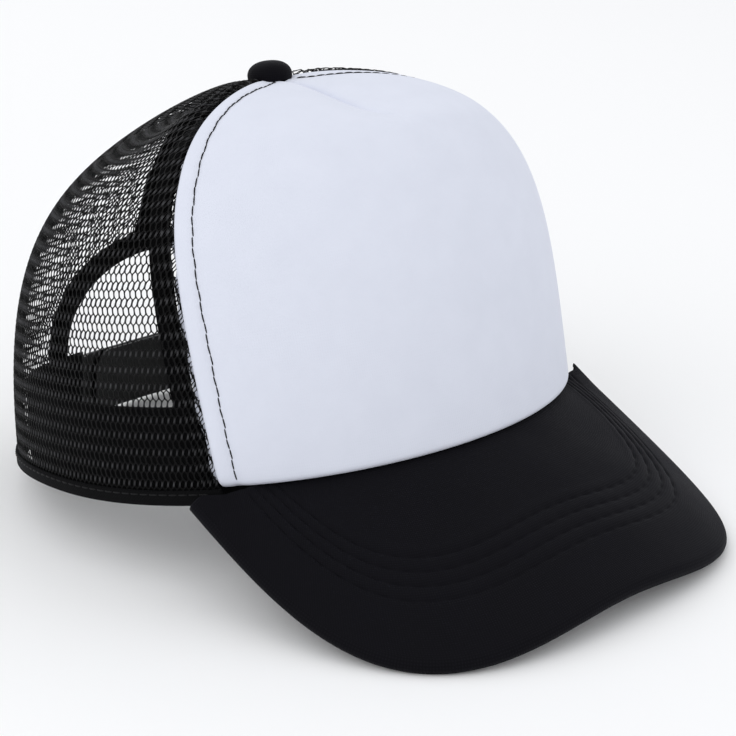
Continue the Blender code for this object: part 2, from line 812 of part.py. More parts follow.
def build_brim_stitches(material):
    for row in range(STITCH_ROWS):
        distance = STITCH_ROW_FIRST + STITCH_ROW_PITCH * row
        add_thread(f"brim_stitch_row_{row + 1}", stitch_row_points(distance), material)


# ---------------------------------------------------------------- assembly

def start_scene():
    for part in list(bpy.data.objects):
        bpy.data.objects.remove(part, do_unlink=True)
    for name in ("trucker_cap", "cutters"):
        bpy.context.scene.collection.children.link(bpy.data.collections.new(name))
    frame = bpy.data.objects.new("cap_frame", None)
    bpy.data.collections["trucker_cap"].objects.link(frame)
    return frame


def stand_on_table(frame):
    """Tip the cap back to rest on brim and hem, centred over the origin."""
    frame.rotation_euler.x = -REST_TILT
    bpy.context.view_layer.update()
    graph = bpy.context.evaluated_depsgraph_get()
    corners = []
    for part in bpy.data.collections["trucker_cap"].objects:
        if part.type in {"MESH", "CURVE"}:
            mesh = part.evaluated_get(graph).to_mesh()
            corners += [part.matrix_world @ vert.co for vert in mesh.vertices]
    low = [min(corner[k] for corner in corners) for k in range(3)]
    high = [max(corner[k] for corner in corners) for k in range(3)]
    frame.location = (-(low[0] + high[0]) / 2, -(low[1] + high[1]) / 2, -low[2])
    bpy.context.view_layer.update()


def main():
    frame = start_scene()
    white = make_material("white_polyester", WHITE, 0.75)
    foam = make_material("black_backed_foam", DARK, 0.9)
    mesh = make_material("black_nylon_mesh", BLACK, 0.55)
    tape = make_material("black_seam_tape", DARK, 0.8)
    cloth = make_material("black_twill", BLACK, 0.85)
    plastic = make_material("black_plastic", BLACK, 0.35)
    board = make_material("white_plastic_board", (0.7, 0.7, 0.7), 0.5)
    steel = make_material("plated_steel", STEEL, 0.3, 1.0)
    thread = make_material("black_thread", DARK, 0.6)

    build_front_panel(white, foam)
    build_topstitches(thread)
    build_mesh_panels(mesh)
    build_tapes(tape)
    build_sweatband(cloth)
    build_bindings(cloth)
    build_straps(plastic)
    build_strap_tabs(plastic)
    build_bartacks(thread)
    build_button(cloth, steel)
    build_brim(cloth, board)
    build_brim_stitches(thread)
    stand_on_table(frame)


main()
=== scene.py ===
"""Looks of the trucker mesh cap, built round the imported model.

Units are metres. Pieces are placed in the cap's own frame (z = 0 at the sides of
the rim, brim to -Y, +Z up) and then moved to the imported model's frame, which the
record's head_opening mount gives. phi is the angle round the crown, 0 at the
forehead and positive towards +X. s runs from 0 at the rim to 1 at the top.
Offsets are measured outwards from the crown's outer surface.
"""

import json
import math

import bmesh
import bpy
import numpy as np
from mathutils import Matrix, Vector


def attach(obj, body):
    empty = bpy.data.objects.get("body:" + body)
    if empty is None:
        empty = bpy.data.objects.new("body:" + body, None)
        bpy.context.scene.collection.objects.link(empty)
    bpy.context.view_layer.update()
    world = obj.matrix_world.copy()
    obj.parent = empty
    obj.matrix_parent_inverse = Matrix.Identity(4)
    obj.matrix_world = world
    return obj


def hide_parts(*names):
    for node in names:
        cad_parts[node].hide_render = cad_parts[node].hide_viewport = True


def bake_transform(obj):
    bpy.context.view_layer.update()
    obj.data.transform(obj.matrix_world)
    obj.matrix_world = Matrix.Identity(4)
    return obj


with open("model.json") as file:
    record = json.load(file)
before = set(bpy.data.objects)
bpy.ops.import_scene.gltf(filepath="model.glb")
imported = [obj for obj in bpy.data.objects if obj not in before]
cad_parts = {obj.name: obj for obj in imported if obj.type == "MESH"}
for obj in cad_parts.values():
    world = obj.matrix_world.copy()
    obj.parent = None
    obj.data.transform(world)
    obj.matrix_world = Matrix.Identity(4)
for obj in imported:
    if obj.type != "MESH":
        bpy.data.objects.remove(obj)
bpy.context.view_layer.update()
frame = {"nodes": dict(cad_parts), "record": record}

MOUNT = frame["record"]["mounts"][0]
CAP_ORIGIN = np.array(MOUNT["pos_m"])
CAP_UP = -np.array(MOUNT["axis"])
CAP_SIDE = np.array((1.0, 0.0, 0.0))
CAP_AXES = np.column_stack((CAP_SIDE, np.cross(CAP_UP, CAP_SIDE), CAP_UP))
MM = 0.001
SIDES = ((-1, "right"), (1, "left"))

# Crown, as in the CAD model: rim, wall and top
RIM_HALF_WIDTH, RIM_HALF_LENGTH = 0.0955, 0.0925
RIM_FRONT_RISE, RIM_BACK_RISE = 0.0038, -0.0104
CROWN_HEIGHT = 0.114
APEX_FORWARD = 0.0043
APEX_HOLE_S = 0.984
TOP_SHAPE_LOW_S = 0.59
DART_VALLEY, DART_VALLEY_POWER, DART_VALLEY_FLANK = 0.0098, 1.3, 1.6
SEAM_RIDGE, SEAM_RIDGE_WIDTH = 0.0078, 0.35
WALL_LEAN = (-0.0089, 0.0, -0.0071)
WALL_FULLNESS = (0.617, 0.713, 0.520)
TOP_FULLNESS = (0.950, 0.900, 0.549)
TOP_RISE = (0.0213, -0.0132, 0.0098)
FRONT_SEAM_LOW, FRONT_SEAM_HIGH = math.radians(53.2), math.radians(64.9)
FRONT_SEAM_BOW = math.radians(1.6)
REAR_SEAM = math.radians(117)
CENTER_BACK = math.radians(180)

# Front panel
FRONT_PANEL_LIFT = 0.0040
WALL_METRES_PER_S = 0.16
PILLOW_HEIGHT, PILLOW_REACH, BORDER_HEIGHT = 0.0010, 0.0070, 0.00035
GROOVE_DEPTH, GROOVE_WIDTH = 0.00055, 0.0009
DART_DEPTH, DART_WIDTH = 0.0010, 0.0010
DART_LIP_HEIGHT, DART_LIP_WIDTH, DART_LIP_PLACE = 0.00035, 0.0020, 0.0030
LARGEST_PUFF = 0.0016
COVER_THICKNESS = 0.0007
FOAM_FACE, FOAM_THICKNESS = -0.0020, 0.0022
SEAM_ROLL = 0.0018
LOWER_ROLL = 0.0019
CORNER_ROUND = 0.0022
TOPSTITCH_INSET, TOPSTITCH_TOP_S, TOPSTITCH_WANDER = 0.0062, 0.966, 0.00016
TOPSTITCH_LENGTH, TOPSTITCH_PITCH = 0.0033, 0.0032
DART_LOW_S = 0.60
ALLOWANCE_WIDTH, TURNED_NET_WIDTH = 0.0014, 0.006
ALLOWANCE_FACE = -0.0021

CLOTH_FRAMES = 20
CLOTH_SETTINGS = {
    "quality": 5,
    "mass": 0.2,
    "tension_stiffness": 12,
    "compression_stiffness": 12,
    "shear_stiffness": 6,
    "bending_stiffness": 6,
    "use_pressure": True,
    "uniform_pressure_force": 1.5,
}

# Net: staggered cells, each rib two threads side by side
CELL_WIDTH, CELL_HEIGHT = 0.00200, 0.00250
NET_THREAD_RADIUS, NET_LOOP_RADIUS = 0.00015, 0.00021
RIB_HALF, RIB_SLANT = 0.00014, 0.00050
NET_FACE, DOUBLED_NET_FACE = -0.0013, -0.0018
NET_SWELL, NET_SWELL_FROM_SEAM = 0.0030, 0.15
NET_MARGIN, OPENING_MARGIN = 0.0008, 0.0012
NET_ROWS, TURNED_NET_PHASE = 72, 0.37
# One rib's points from bottom to top: place in its row, spread, radius, lift and glint, the glint being a
# painted highlight in the thread colour
RIB_POINTS = (0.11, 0.37, 0.63, 0.89)
RIB_SPREAD = (1.25, 0.85, 0.85, 1.25)
RIB_RADII = (NET_LOOP_RADIUS, NET_THREAD_RADIUS, NET_THREAD_RADIUS, NET_LOOP_RADIUS)
RIB_LIFT = (0.0, 0.00009, 0.00009, 0.0)
# Painted highlight: 1 where the middle of a rib gets a lighter thread colour
RIB_GLINT = (0.0, 1.0, 1.0, 0.0)
RIB_LEAN_LIFT = 0.00006

# Tapes, bands and bindings
TAPE_FACE, TAPE_THICKNESS = -0.0027, 0.0008
FRONT_TAPE_START, FRONT_TAPE_END = 0.0022, 0.0092
REAR_TAPE_HALF, BACK_TAPE_HALF, DART_TAPE_HALF = 0.0060, 0.0073, 0.0050
DART_TAPE_FACE = -0.0047
TAPE_TOP_S = 0.95
TAPE_LOW = 0.0065
TAPE_FULL_WIDTH_RADIUS = 0.020
TAPE_CROWN, TAPE_RIPPLE = 0.00015, 0.00005
TAPE_STITCH_TOP_S, DART_TAPE_LOW_S = 0.93, 0.66
SWEATBAND_LOW, SWEATBAND_HIGH = 0.0006, 0.029
SWEATBAND_MIDDLE_FACE, SWEATBAND_STITCH_FACE = -0.0057, -0.00608
SWEATBAND_BACK, SWEATBAND_PADDING, SWEATBAND_RIPPLE = 0.00035, 0.00095, 0.00010
ARCH_HALF_ANGLE, ARCH_HEIGHT = math.radians(31.2), 0.0615
ARCH_SQUARENESS, ARCH_PINCH, ARCH_PINCH_POWER = 0.72, 0.34, 2
BINDING_WIDTH, HEM_WIDTH, BINDING_THICKNESS = 0.0060, 0.0042, 0.0006
BINDING_OUTER, BINDING_INNER = 0.0005, -0.0035
HEM_OUTER, HEM_INNER = -0.0005, -0.0032

# Snap strap
STRAP_LOW, STRAP_HIGH = 0.003, 0.0260
STRAP_PITCH, STRAP_END_TO_PEG = 0.0095, 0.0055
STRAP_THICKNESS = 0.001
STRAP_FACE, HOLE_STRAP_RAISED_FACE = -0.0038, -0.0024
PEG_COUNT, ENGAGED_STEPS = 5, 4
PEG_HEAD_RADIUS, PEG_HEIGHT, HOLE_RADIUS = 0.0022, 0.0027, 0.0026
HINGE_FROM_BINDING = 0.0034
TAB_LENGTH = 0.014
STRAP_TIP_RADIUS, STRAP_EDGE, STRAP_STEP = 0.008, 0.00015, 0.0012
STRAP_BLEND = 0.0015
BARTACK_LOW, BARTACK_HEIGHT, BARTACK_HALF_WIDTH = 0.0075, 0.012, 0.0009
BARTACK_FROM_HINGE, BARTACK_FACE, BARTACK_STITCHES = 0.0085, 0.00072, 34

# Brim
BRIM_HALF_ANGLE = math.radians(55.6)
BRIM_HALF_WIDTH, BRIM_LENGTH, BRIM_SQUARENESS = 0.0828, 0.0530, 3.15
BRIM_SLOPE, BRIM_ARCH_RADIUS = math.radians(32.3), 0.141
BRIM_SEAT, BRIM_TUCK, BRIM_END_OFFSET = 0.0024, -0.0036, 0.0029
TUCK_END, TUCK_GONE = math.radians(46), math.radians(52)
BRIM_EDGE_RADIUS = 0.0020
STITCH_ROW_FIRST, STITCH_ROW_PITCH, STITCH_ROWS = 0.0185, 0.0050, 4
ROW_GROOVE_DEPTH, ROW_GROOVE_WIDTH = 0.00042, 0.0008
ROW_RIDGE_HEIGHT, ROW_RIDGE_WIDTH = 0.00016, 0.0016
BRIM_WAVINESS, BRIM_CLOTH_THICKNESS = 0.00012, 0.0007
# Degrees that each cover turns round the brim's edge: the top one laps over the other
EDGE_ROLL_END = {"top": 94, "under": 70}

# Stitches and button
THREAD_RADIUS = 0.00022
WELD = 1e-6
# A distance that is clear of every edge and seam
FAR = 1.0
STITCH_LENGTH, STITCH_PITCH = 0.0027, 0.0033
BUTTON_RADIUS, BUTTON_HEIGHT, BUTTON_BASE = 0.0073, 0.0067, -0.0032
BUTTON_WAIST, BUTTON_UNDERCUT = 0.54, math.radians(55)
BUTTON_BACK_FACE = -0.0064


# ---------------------------------------------------------------- crown shape

def three_way(values, phi):
    """A value that blends from the forehead to the temples to the nape."""
    front, side, back = values
    mean = (front + back) / 2
    first = (front - back) / 2 * np.cos(phi)
    second = (mean - side) / 2 * np.cos(2 * phi)
    return (mean + side) / 2 + first + second


def rim_point(phi):
    forward = np.cos(phi)
    rise = np.where(forward > 0, RIM_FRONT_RISE, RIM_BACK_RISE)
    x, y = RIM_HALF_WIDTH * np.sin(phi), -RIM_HALF_LENGTH * forward
    return np.stack((x, y, rise * forward ** 2), -1)


def bezier(p0, p1, p2, p3, t):
    k = 1 - t
    return k ** 3 * p0 + 3 * k * k * t * p1 + 3 * k * t * t * p2 + t ** 3 * p3


def crown_surface(phi, s):
    """Points on the crown's outer surface: one cubic curve from the rim to the top."""
    phi, s = np.broadcast_arrays(phi, s)
    rim = rim_point(phi)
    x, y, rim_z = rim[..., 0], rim[..., 1] + APEX_FORWARD, rim[..., 2]
    radius = np.hypot(x, y)
    wall_height = rim_z + three_way(WALL_FULLNESS, phi) * (CROWN_HEIGHT - rim_z)
    top_height = CROWN_HEIGHT + three_way(TOP_RISE, phi)
    wall_radius = radius + three_way(WALL_LEAN, phi)
    top_radius = radius * three_way(TOP_FULLNESS, phi)
    r = bezier(radius, wall_radius, top_radius, 0, s)
    z = bezier(rim_z, wall_height, top_height, CROWN_HEIGHT, s) + top_shaping(phi, s)
    return np.stack((x / radius * r, y / radius * r - APEX_FORWARD, z), -1)


def top_shaping(phi, s):
    """Height added near the top: a crease along the dart and a ridge along each front seam."""
    climbed = np.clip((s - TOP_SHAPE_LOW_S) / (1 - TOP_SHAPE_LOW_S), 0, 1)
    turn = np.abs(np.remainder(phi + math.pi, 2 * math.pi) - math.pi)
    seam = front_seam(s)
    valley = DART_VALLEY * np.maximum(np.sin(math.pi * climbed), 0) ** DART_VALLEY_POWER
    valley = valley * np.maximum(1 - turn / seam, 0) ** DART_VALLEY_FLANK
    ridge = SEAM_RIDGE * climbed * np.sqrt(1 - climbed)
    near_seam = np.exp(-((turn - seam) / SEAM_RIDGE_WIDTH) ** 2)
    return ridge * near_seam - valley


def crown_slopes(phi, s):
    """The surface's two derivatives, along phi and along s."""
    step = 1e-4
    along_phi = (crown_surface(phi + step, s) - crown_surface(phi - step, s)) / (2 * step)
    along_s = (crown_surface(phi, s + step) - crown_surface(phi, s - step)) / (2 * step)
    return along_phi, along_s


def unit(vectors):
    return vectors / np.linalg.norm(vectors, axis=-1, keepdims=True)


def crown_normal(phi, s):
    return unit(np.cross(*crown_slopes(phi, s)))


def crown_point(phi, s, offset=0.0):
    phi, s, offset = np.broadcast_arrays(np.asarray(phi, float), s, offset)
    return crown_surface(phi, s) + crown_normal(phi, s) * offset[..., None]


def crown_radius(phi, s):
    """Distance from the axis through the top of the crown."""
    point = crown_surface(phi, s)
    return np.hypot(point[..., 0], point[..., 1] + APEX_FORWARD)


def s_at_height(phi, height):
    """The s at which the crown wall is this far above its own rim."""
    phi, height = np.broadcast_arrays(np.asarray(phi, float), height)
    target = rim_point(phi)[..., 2] + height
    low, high = np.full(phi.shape, -0.1), np.full(phi.shape, 0.7)
    for _ in range(26):
        middle = (low + high) / 2
        below = crown_surface(phi, middle)[..., 2] < target
        low = np.where(below, middle, low)
        high = np.where(below, high, middle)
    return low


def height_above_rim(phi, s):
    return crown_surface(phi, s)[..., 2] - rim_point(phi)[..., 2]


def front_seam(s):
    bow = FRONT_SEAM_BOW * 4 * s * (1 - s)
    return FRONT_SEAM_LOW + (FRONT_SEAM_HIGH - FRONT_SEAM_LOW) * s + bow


def beside_front_seam(s, inset):
    """The phi of a place this far from the left front seam, towards the forehead."""
    seam = front_seam(s)
    return seam - inset / crown_radius(seam, s)


def smooth(value, low, high):
    """0 below low, 1 above high, and smooth between."""
    share = np.clip((value - low) / (high - low), 0, 1)
    return share * share * (3 - 2 * share)


def bump(value, centre, width):
    return np.exp(-((value - centre) / width) ** 2)


def quarter_round(distance, radius):
    """A quarter circle's drop towards an edge, with distance measured from the edge."""
    reach = np.clip(1 - distance / radius, 0, 1)
    return radius * (1 - np.sqrt(1 - reach ** 2))


def full_turn(count):
    return np.linspace(0, 2 * math.pi, count, endpoint=False)


def ring_about_apex(radius, turn, height):
    """A level ring of points round the axis through the top of the crown."""
    x, y = radius * np.sin(turn), -radius * np.cos(turn) - APEX_FORWARD
    return np.stack((x, y, np.full_like(turn, height)), -1)


# ---------------------------------------------------------------- mesh tools

def to_world(points):
    return np.asarray(points) @ CAP_AXES.T + CAP_ORIGIN


def grid_faces(rows, columns, closed=False):
    """Faces of a grid of points, rows first; closed joins the last column to the first."""
    corner = np.arange(rows * columns).reshape(rows, columns)
    after = np.roll(corner, -1, axis=1)
    last = columns if closed else columns - 1
    a, b = corner[:-1, :last], after[:-1, :last]
    c, d = after[1:, :last], corner[1:, :last]
    return np.stack((a, b, c, d), -1).reshape(-1, 4).tolist()


def new_object(name, points, faces, material, uv=None):
    """Mesh object from points in the cap's frame; uv is in metres, one for each point."""
    mesh = bpy.data.meshes.new(name)
    mesh.from_pydata(to_world(points).tolist(), [], faces)
    if uv is not None:
        layer = mesh.uv_layers.new(name="cloth")
        corners = np.zeros(len(mesh.loops), int)
        mesh.loops.foreach_get("vertex_index", corners)
        layer.data.foreach_set("uv", np.asarray(uv)[corners].ravel())
    mesh.materials.append(material)
    mesh.shade_smooth()
    return link_object(name, mesh)


def link_object(name, data):
    made = bpy.data.objects.new(name, data)
    bpy.context.scene.collection.objects.link(made)
    return made


def finish_piece(piece, nodes=(), body="cap"):
    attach(piece, body)
    if nodes:
        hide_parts(*nodes)
    return piece


def path_length(points):
    steps = np.linalg.norm(np.diff(points, axis=0), axis=-1)
    return np.concatenate(([0.0], np.cumsum(steps)))


def grid_uv(points):
    """Lengths along a (rows, columns, 3) grid, measured on its middle row and column."""
    rows, columns = points.shape[:2]
    across = path_length(points[rows // 2])
    along = path_length(points[:, columns // 2])
    across_grid, along_grid = np.meshgrid(across, along)
    return np.stack((across_grid, along_grid), -1).reshape(-1, 2)


def sheet_object(name, points, material, thickness, offset=-1):
    """Open (rows, columns, 3) grid thickened into a cloth of that thickness."""
    faces = grid_faces(*points.shape[:2])
    piece = new_object(name, points.reshape(-1, 3), faces, material, grid_uv(points))
    thicken(piece, thickness, offset)
    return piece


def thicken(piece, thickness, offset=-1):
    solidify = piece.modifiers.new("thickness", "SOLIDIFY")
    solidify.thickness = thickness
    solidify.offset = offset


def loft_object(name, rings, material):
    """Closed sections (stations, points, 3) joined into a tube with closed ends."""
    stations, count = rings.shape[:2]
    faces = grid_faces(stations, count, closed=True)
    faces.append(list(range(count))[::-1])
    faces.append(list(range((stations - 1) * count, stations * count)))
    across = np.tile(path_length(rings[stations // 2]), stations)
    along = np.repeat(path_length(rings[:, 0]), count)
    uv = np.stack((along, across), -1)
    piece = new_object(name, rings.reshape(-1, 3), faces, material, uv)
    turn_outwards(piece)
    return piece


def turn_outwards(piece, close=False):
    """Turns the faces outwards; close first welds the piece and fills its open ends."""
    bm = bmesh.new()
    bm.from_mesh(piece.data)
    if close:
        bmesh.ops.remove_doubles(bm, verts=bm.verts, dist=WELD)
        bmesh.ops.holes_fill(bm, edges=bm.edges)
    bmesh.ops.recalc_face_normals(bm, faces=bm.faces)
    bm.to_mesh(piece.data)
    bm.free()


class Threads:
    """Many round threads gathered into one mesh."""

    def __init__(self, radius=THREAD_RADIUS, sides=6):
        self.radius, self.sides = radius, sides
        self.points, self.faces, self.tones, self.count = [], [], [], 0

    # tone is stored per point in the tone attribute; the net passes its painted glint through it
    def add(self, path, normals, radius=None, tone=0.0):
        radius = self.radius if radius is None else radius
        along = unit(np.gradient(path, axis=0))
        side = unit(np.cross(along, normals))
        up = np.cross(side, along)
        angle = np.arange(self.sides) * 2 * math.pi / self.sides + math.pi / self.sides
        cosine, sine = np.cos(angle)[None, :, None], np.sin(angle)[None, :, None]
        around = cosine * side[:, None] + sine * up[:, None]
        rings = path[:, None] + around * np.reshape(radius, (-1, 1, 1))
        faces = np.array(grid_faces(len(path), self.sides, closed=True)) + self.count
        first = np.arange(self.sides) + self.count
        last = first + (len(path) - 1) * self.sides
        self.faces += faces[:, ::-1].tolist() + [first.tolist(), last[::-1].tolist()]
        self.points.append(rings.reshape(-1, 3))
        self.tones.append(np.repeat(np.broadcast_to(tone, len(path)), self.sides))
        self.count += rings.shape[0] * rings.shape[1]

    def finish(self, name, material, *nodes, slot="thread"):
        piece = new_object(name, np.concatenate(self.points), self.faces, material)
        # The tone attribute holds the painted glint of the net's ribs, and 0 on every other thread
        layer = piece.data.attributes.new("tone", "FLOAT", "POINT")
        layer.data.foreach_set("value", np.concatenate(self.tones).astype(np.float32))
        finish_piece(piece, nodes)


def sew(threads, path, normals, length=STITCH_LENGTH, pitch=STITCH_PITCH, wander=0.0):
    """Separate stitches along a path, each one arched so that its ends dip into the cloth.

    wander is how far the needle strays to either side of the path.
    """
    walked = path_length(path)
    count = int(walked[-1] // pitch)
    start = (walked[-1] - count * pitch + pitch - length) / 2
    share = np.linspace(0, 1, 6)
    dip = np.array((-0.9, 0.15, 0.45, 0.45, 0.15, -0.9)) * threads.radius
    for i in range(count):
        at = start + i * pitch + share * length
        points = np.stack([np.interp(at, walked, path[:, k]) for k in range(3)], -1)
        up = unit(np.stack([np.interp(at, walked, normals[:, k]) for k in range(3)], -1))
        across = unit(np.cross(up, points[-1] - points[0]))
        stray = np.sin(i * 2.1 + share) + np.sin(i * 0.37) + np.interp(share, (0, 1), (-0.5, 0.5))
        threads.add(points + up * dip[:, None] + across * (wander * stray)[:, None], up)


def sew_on_crown(threads, phi, s, offset, face=1, **spacing):
    """Stitches along a line on the crown; face is 1 outside and -1 inside."""
    sew(threads, crown_point(phi, s, offset), face * crown_normal(phi, s), **spacing)


# ---------------------------------------------------------------- materials

class Nodes:
    """A material's node tree, with short calls for the nodes that are used here."""

    def __init__(self, name, colour, roughness, specular=0.5):
        self.material = bpy.data.materials.new(name)
        self.material.use_nodes = True
        self.tree = self.material.node_tree
        self.shader = self.tree.nodes["Principled BSDF"]
        self.shader.inputs["Base Color"].default_value = (*colour, 1)
        self.shader.inputs["Roughness"].default_value = roughness
        self.shader.inputs["Specular IOR Level"].default_value = specular

    def node(self, kind, inputs=(), **settings):
        made = self.tree.nodes.new(kind)
        for key, value in settings.items():
            setattr(made, key, value)
        for key, value in dict(inputs).items():
            if isinstance(value, bpy.types.NodeSocket):
                self.tree.links.new(value, made.inputs[key])
            else:
                made.inputs[key].default_value = value
        return made

    def math(self, operation, first, second=0.0):
        return self.node("ShaderNodeMath", {0: first, 1: second}, operation=operation).outputs[0]

    def places(self):
        return self.node("ShaderNodeTexCoord").outputs["Object"]

    def cloth_axes(self):
        lengths = self.node("ShaderNodeUVMap", uv_map="cloth").outputs[0]
        split = self.node("ShaderNodeSeparateXYZ", {0: lengths})
        return split.outputs["X"], split.outputs["Y"]

    def noise(self, scale, detail=3.0, roughness=0.55):
        inputs = {"Vector": self.places(), "Scale": scale, "Detail": detail, "Roughness": roughness}
        return self.node("ShaderNodeTexNoise", inputs).outputs["Fac"]

    def wave(self, value, length):
        """A sine from 0 to 1 along a length in metres."""
        turned = self.math("SINE", self.math("MULTIPLY", value, 2 * math.pi / length))
        return self.math("ADD", self.math("MULTIPLY", turned, 0.5), 0.5)

    def ramp(self, factor, low, high):
        """Colour or value between two, by factor."""
        mix = self.node("ShaderNodeMix", {0: factor}, data_type="RGBA")
        mix.inputs[6].default_value = (*low, 1)
        mix.inputs[7].default_value = (*high, 1)
        return mix.outputs[2]

    def range(self, value, low, high, from_low=0.25, from_high=0.75):
        inputs = {0: value, 1: from_low, 2: from_high, 3: low, 4: high}
        return self.node("ShaderNodeMapRange", inputs).outputs[0]

    def finish(self, colour=None, roughness=None, normal=None):
        """Links what varies over the surface to the shader, and returns the material."""
        for key, socket in (("Base Color", colour), ("Roughness", roughness), ("Normal", normal)):
            if socket is not None:
                self.tree.links.new(socket, self.shader.inputs[key])
        return self.material

    def bump(self, height, distance, strength=1.0, under=None):
        inputs = {"Height": height, "Distance": distance, "Strength": strength}
        if under is not None:
            inputs["Normal"] = under
        return self.node("ShaderNodeBump", inputs).outputs[0]

    def sheen(self, weight, roughness, tint):
        self.shader.inputs["Sheen Weight"].default_value = weight
        self.shader.inputs["Sheen Roughness"].default_value = roughness
        self.shader.inputs["Sheen Tint"].default_value = (*tint, 1)


def white_polyester():
    """Smooth brushed knit: very fine ribs, a little mottling and a cool tint."""
    n = Nodes("white_polyester_knit", (0.75, 0.78, 0.88), 0.78, 0.25)
    u, v = n.cloth_axes()
    knit = n.math("MULTIPLY", n.wave(u, 0.0007), n.wave(v, 0.0009))
    mottle = n.noise(90.0, 4.0)
    n.sheen(0.12, 0.5, (0.9, 0.93, 1.0))
    return n.finish(
        colour=n.ramp(n.range(mottle, 0, 1), (0.685, 0.710, 0.800), (0.715, 0.740, 0.830)),
        roughness=n.range(mottle, 0.72, 0.86),
        normal=n.bump(knit, 0.00004, 0.5, n.bump(n.noise(160.0, 3.0), 0.0001, 0.35)))


def black_foam():
    n = Nodes("black_backed_foam", (0.016, 0.016, 0.018), 0.92, 0.08)
    cells = n.noise(900.0, 2.0)
    return n.finish(
        colour=n.ramp(n.range(n.noise(60.0), 0, 1), (0.0040, 0.0040, 0.0046), (0.0080, 0.0080, 0.0088)),
        roughness=n.range(cells, 0.85, 0.98),
        normal=n.bump(cells, 0.0003, 0.7))


def woven_black(name, base, light, thread, sheen, specular, diagonal=False):
    """Black cloth with its weave along the piece's own lengths; diagonal makes it a twill."""
    n = Nodes(name, base, 0.8, specular)
    u, v = n.cloth_axes()
    if diagonal:
        weave = n.math("MULTIPLY", n.wave(n.math("ADD", u, v), thread), n.wave(u, thread * 0.5))
    else:
        weave = n.math("MULTIPLY", n.wave(u, thread), n.wave(v, thread))
    wear = n.noise(45.0, 5.0)
    tone = n.math("ADD", n.math("MULTIPLY", weave, 0.5), n.math("MULTIPLY", wear, 0.5))
    n.sheen(sheen, 0.4, (0.85, 0.87, 1.0))
    return n.finish(
        colour=n.ramp(n.range(tone, 0, 1, 0.2, 0.7), base, light),
        roughness=n.range(wear, 0.68, 0.84),
        normal=n.bump(weave, 0.00012, 0.5, n.bump(n.noise(220.0, 3.0), 0.00015, 0.3)))


def net_yarn():
    """Shiny black nylon with painted glints: the tone attribute lightens the thread colour on the middle
    of even-row ribs, varying from cell to cell.
    """
    n = Nodes("black_nylon_net", (0.004, 0.004, 0.0044), 0.42, 0.12)
    tone = n.noise(420.0, 2.0)
    # Painted highlight: the tone attribute holds the ribs' glint, which lifts the thread colour from near
    # black to grey
    painted_glint = n.node("ShaderNodeAttribute", attribute_name="tone").outputs["Fac"]
    shine = n.math("MULTIPLY", painted_glint, n.range(tone, 0.35, 1.0))
    return n.finish(
        colour=n.ramp(shine, (0.0022, 0.0022, 0.0024), (0.070, 0.070, 0.074)),
        roughness=n.range(tone, 0.34, 0.50),
        normal=n.bump(n.noise(2600.0, 2.0), 0.00008, 0.6))


def sewing_thread():
    n = Nodes("black_sewing_thread", (0.020, 0.020, 0.022), 0.55, 0.15)
    twist = n.noise(3000.0, 1.0)
    return n.finish(
        colour=n.ramp(n.range(twist, 0, 1), (0.0040, 0.0040, 0.0044), (0.0140, 0.0140, 0.0150)),
        roughness=n.range(twist, 0.45, 0.65),
        normal=n.bump(twist, 0.0001, 0.5))


def moulded_plastic():
    n = Nodes("black_moulded_plastic", (0.014, 0.014, 0.015), 0.36, 0.3)
    return n.finish(
        colour=n.ramp(n.range(n.noise(50.0), 0, 1), (0.0050, 0.0050, 0.0054), (0.0090, 0.0090, 0.0096)),
        roughness=n.range(n.noise(140.0, 4.0), 0.28, 0.46),
        normal=n.bump(n.noise(1500.0, 2.0), 0.00003, 0.5))


def board_plastic():
    n = Nodes("white_brim_board", (0.70, 0.70, 0.68), 0.5)
    return n.finish(roughness=n.range(n.noise(200.0), 0.45, 0.6))


def plated_steel():
    n = Nodes("plated_steel", (0.55, 0.55, 0.56), 0.3)
    n.shader.inputs["Metallic"].default_value = 1.0
    return n.finish(
        roughness=n.range(n.noise(300.0, 4.0), 0.24, 0.42),
        normal=n.bump(n.noise(900.0), 0.00005, 0.3))


# ---------------------------------------------------------------- front panel

def cover_offset(from_seam, from_edge, from_centre, s):
    """How far the front panel's face stands off the crown: pillow, rolls, groove and dart."""
    low_share = 1 - smooth(s, 0.55, 0.90)
    past_stitches = np.maximum(from_seam - TOPSTITCH_INSET, 0) / PILLOW_REACH
    pillow = PILLOW_HEIGHT * low_share * (1 - np.exp(-past_stitches))
    border = BORDER_HEIGHT * low_share * np.sin(math.pi * np.clip(from_seam / TOPSTITCH_INSET, 0, 1))
    groove = -GROOVE_DEPTH * bump(from_seam, TOPSTITCH_INSET, GROOVE_WIDTH)
    rolled = quarter_round(from_seam, SEAM_ROLL) + quarter_round(from_edge, LOWER_ROLL)
    dart_share = smooth(s, DART_LOW_S, 0.94)
    dart = -DART_DEPTH * dart_share * bump(from_centre, 0, DART_WIDTH)
    dart_lips = DART_LIP_HEIGHT * dart_share * bump(from_centre, DART_LIP_PLACE, DART_LIP_WIDTH)
    flat_top = 1 - smooth(s, 0.93, 0.975)
    return (pillow + border + groove + dart + dart_lips) * flat_top - rolled


def front_grid(half_columns, rows):
    """phi, s and the distances from the seam, the lower edge and the centre line."""
    column = np.linspace(-1, 1, 2 * half_columns + 1)
    share = np.sign(column) * (1 - (1 + np.cos(math.pi * np.abs(column))) / 2)
    low = s_at_height(0.0, FRONT_PANEL_LIFT)
    s = low + (APEX_HOLE_S - low) * np.linspace(0, 1, rows) ** 1.25
    share, s = np.meshgrid(share, s)
    seam = front_seam(s)
    phi = seam * share
    radius = crown_radius(phi, s)
    from_seam = (seam - np.abs(phi)) * radius
    from_centre = np.abs(phi) * radius
    meridian = path_length(crown_surface(0.0, s[:, 0]))
    from_edge = np.repeat(meridian[:, None], share.shape[1], axis=1)
    return phi, s, from_seam, from_edge, from_centre


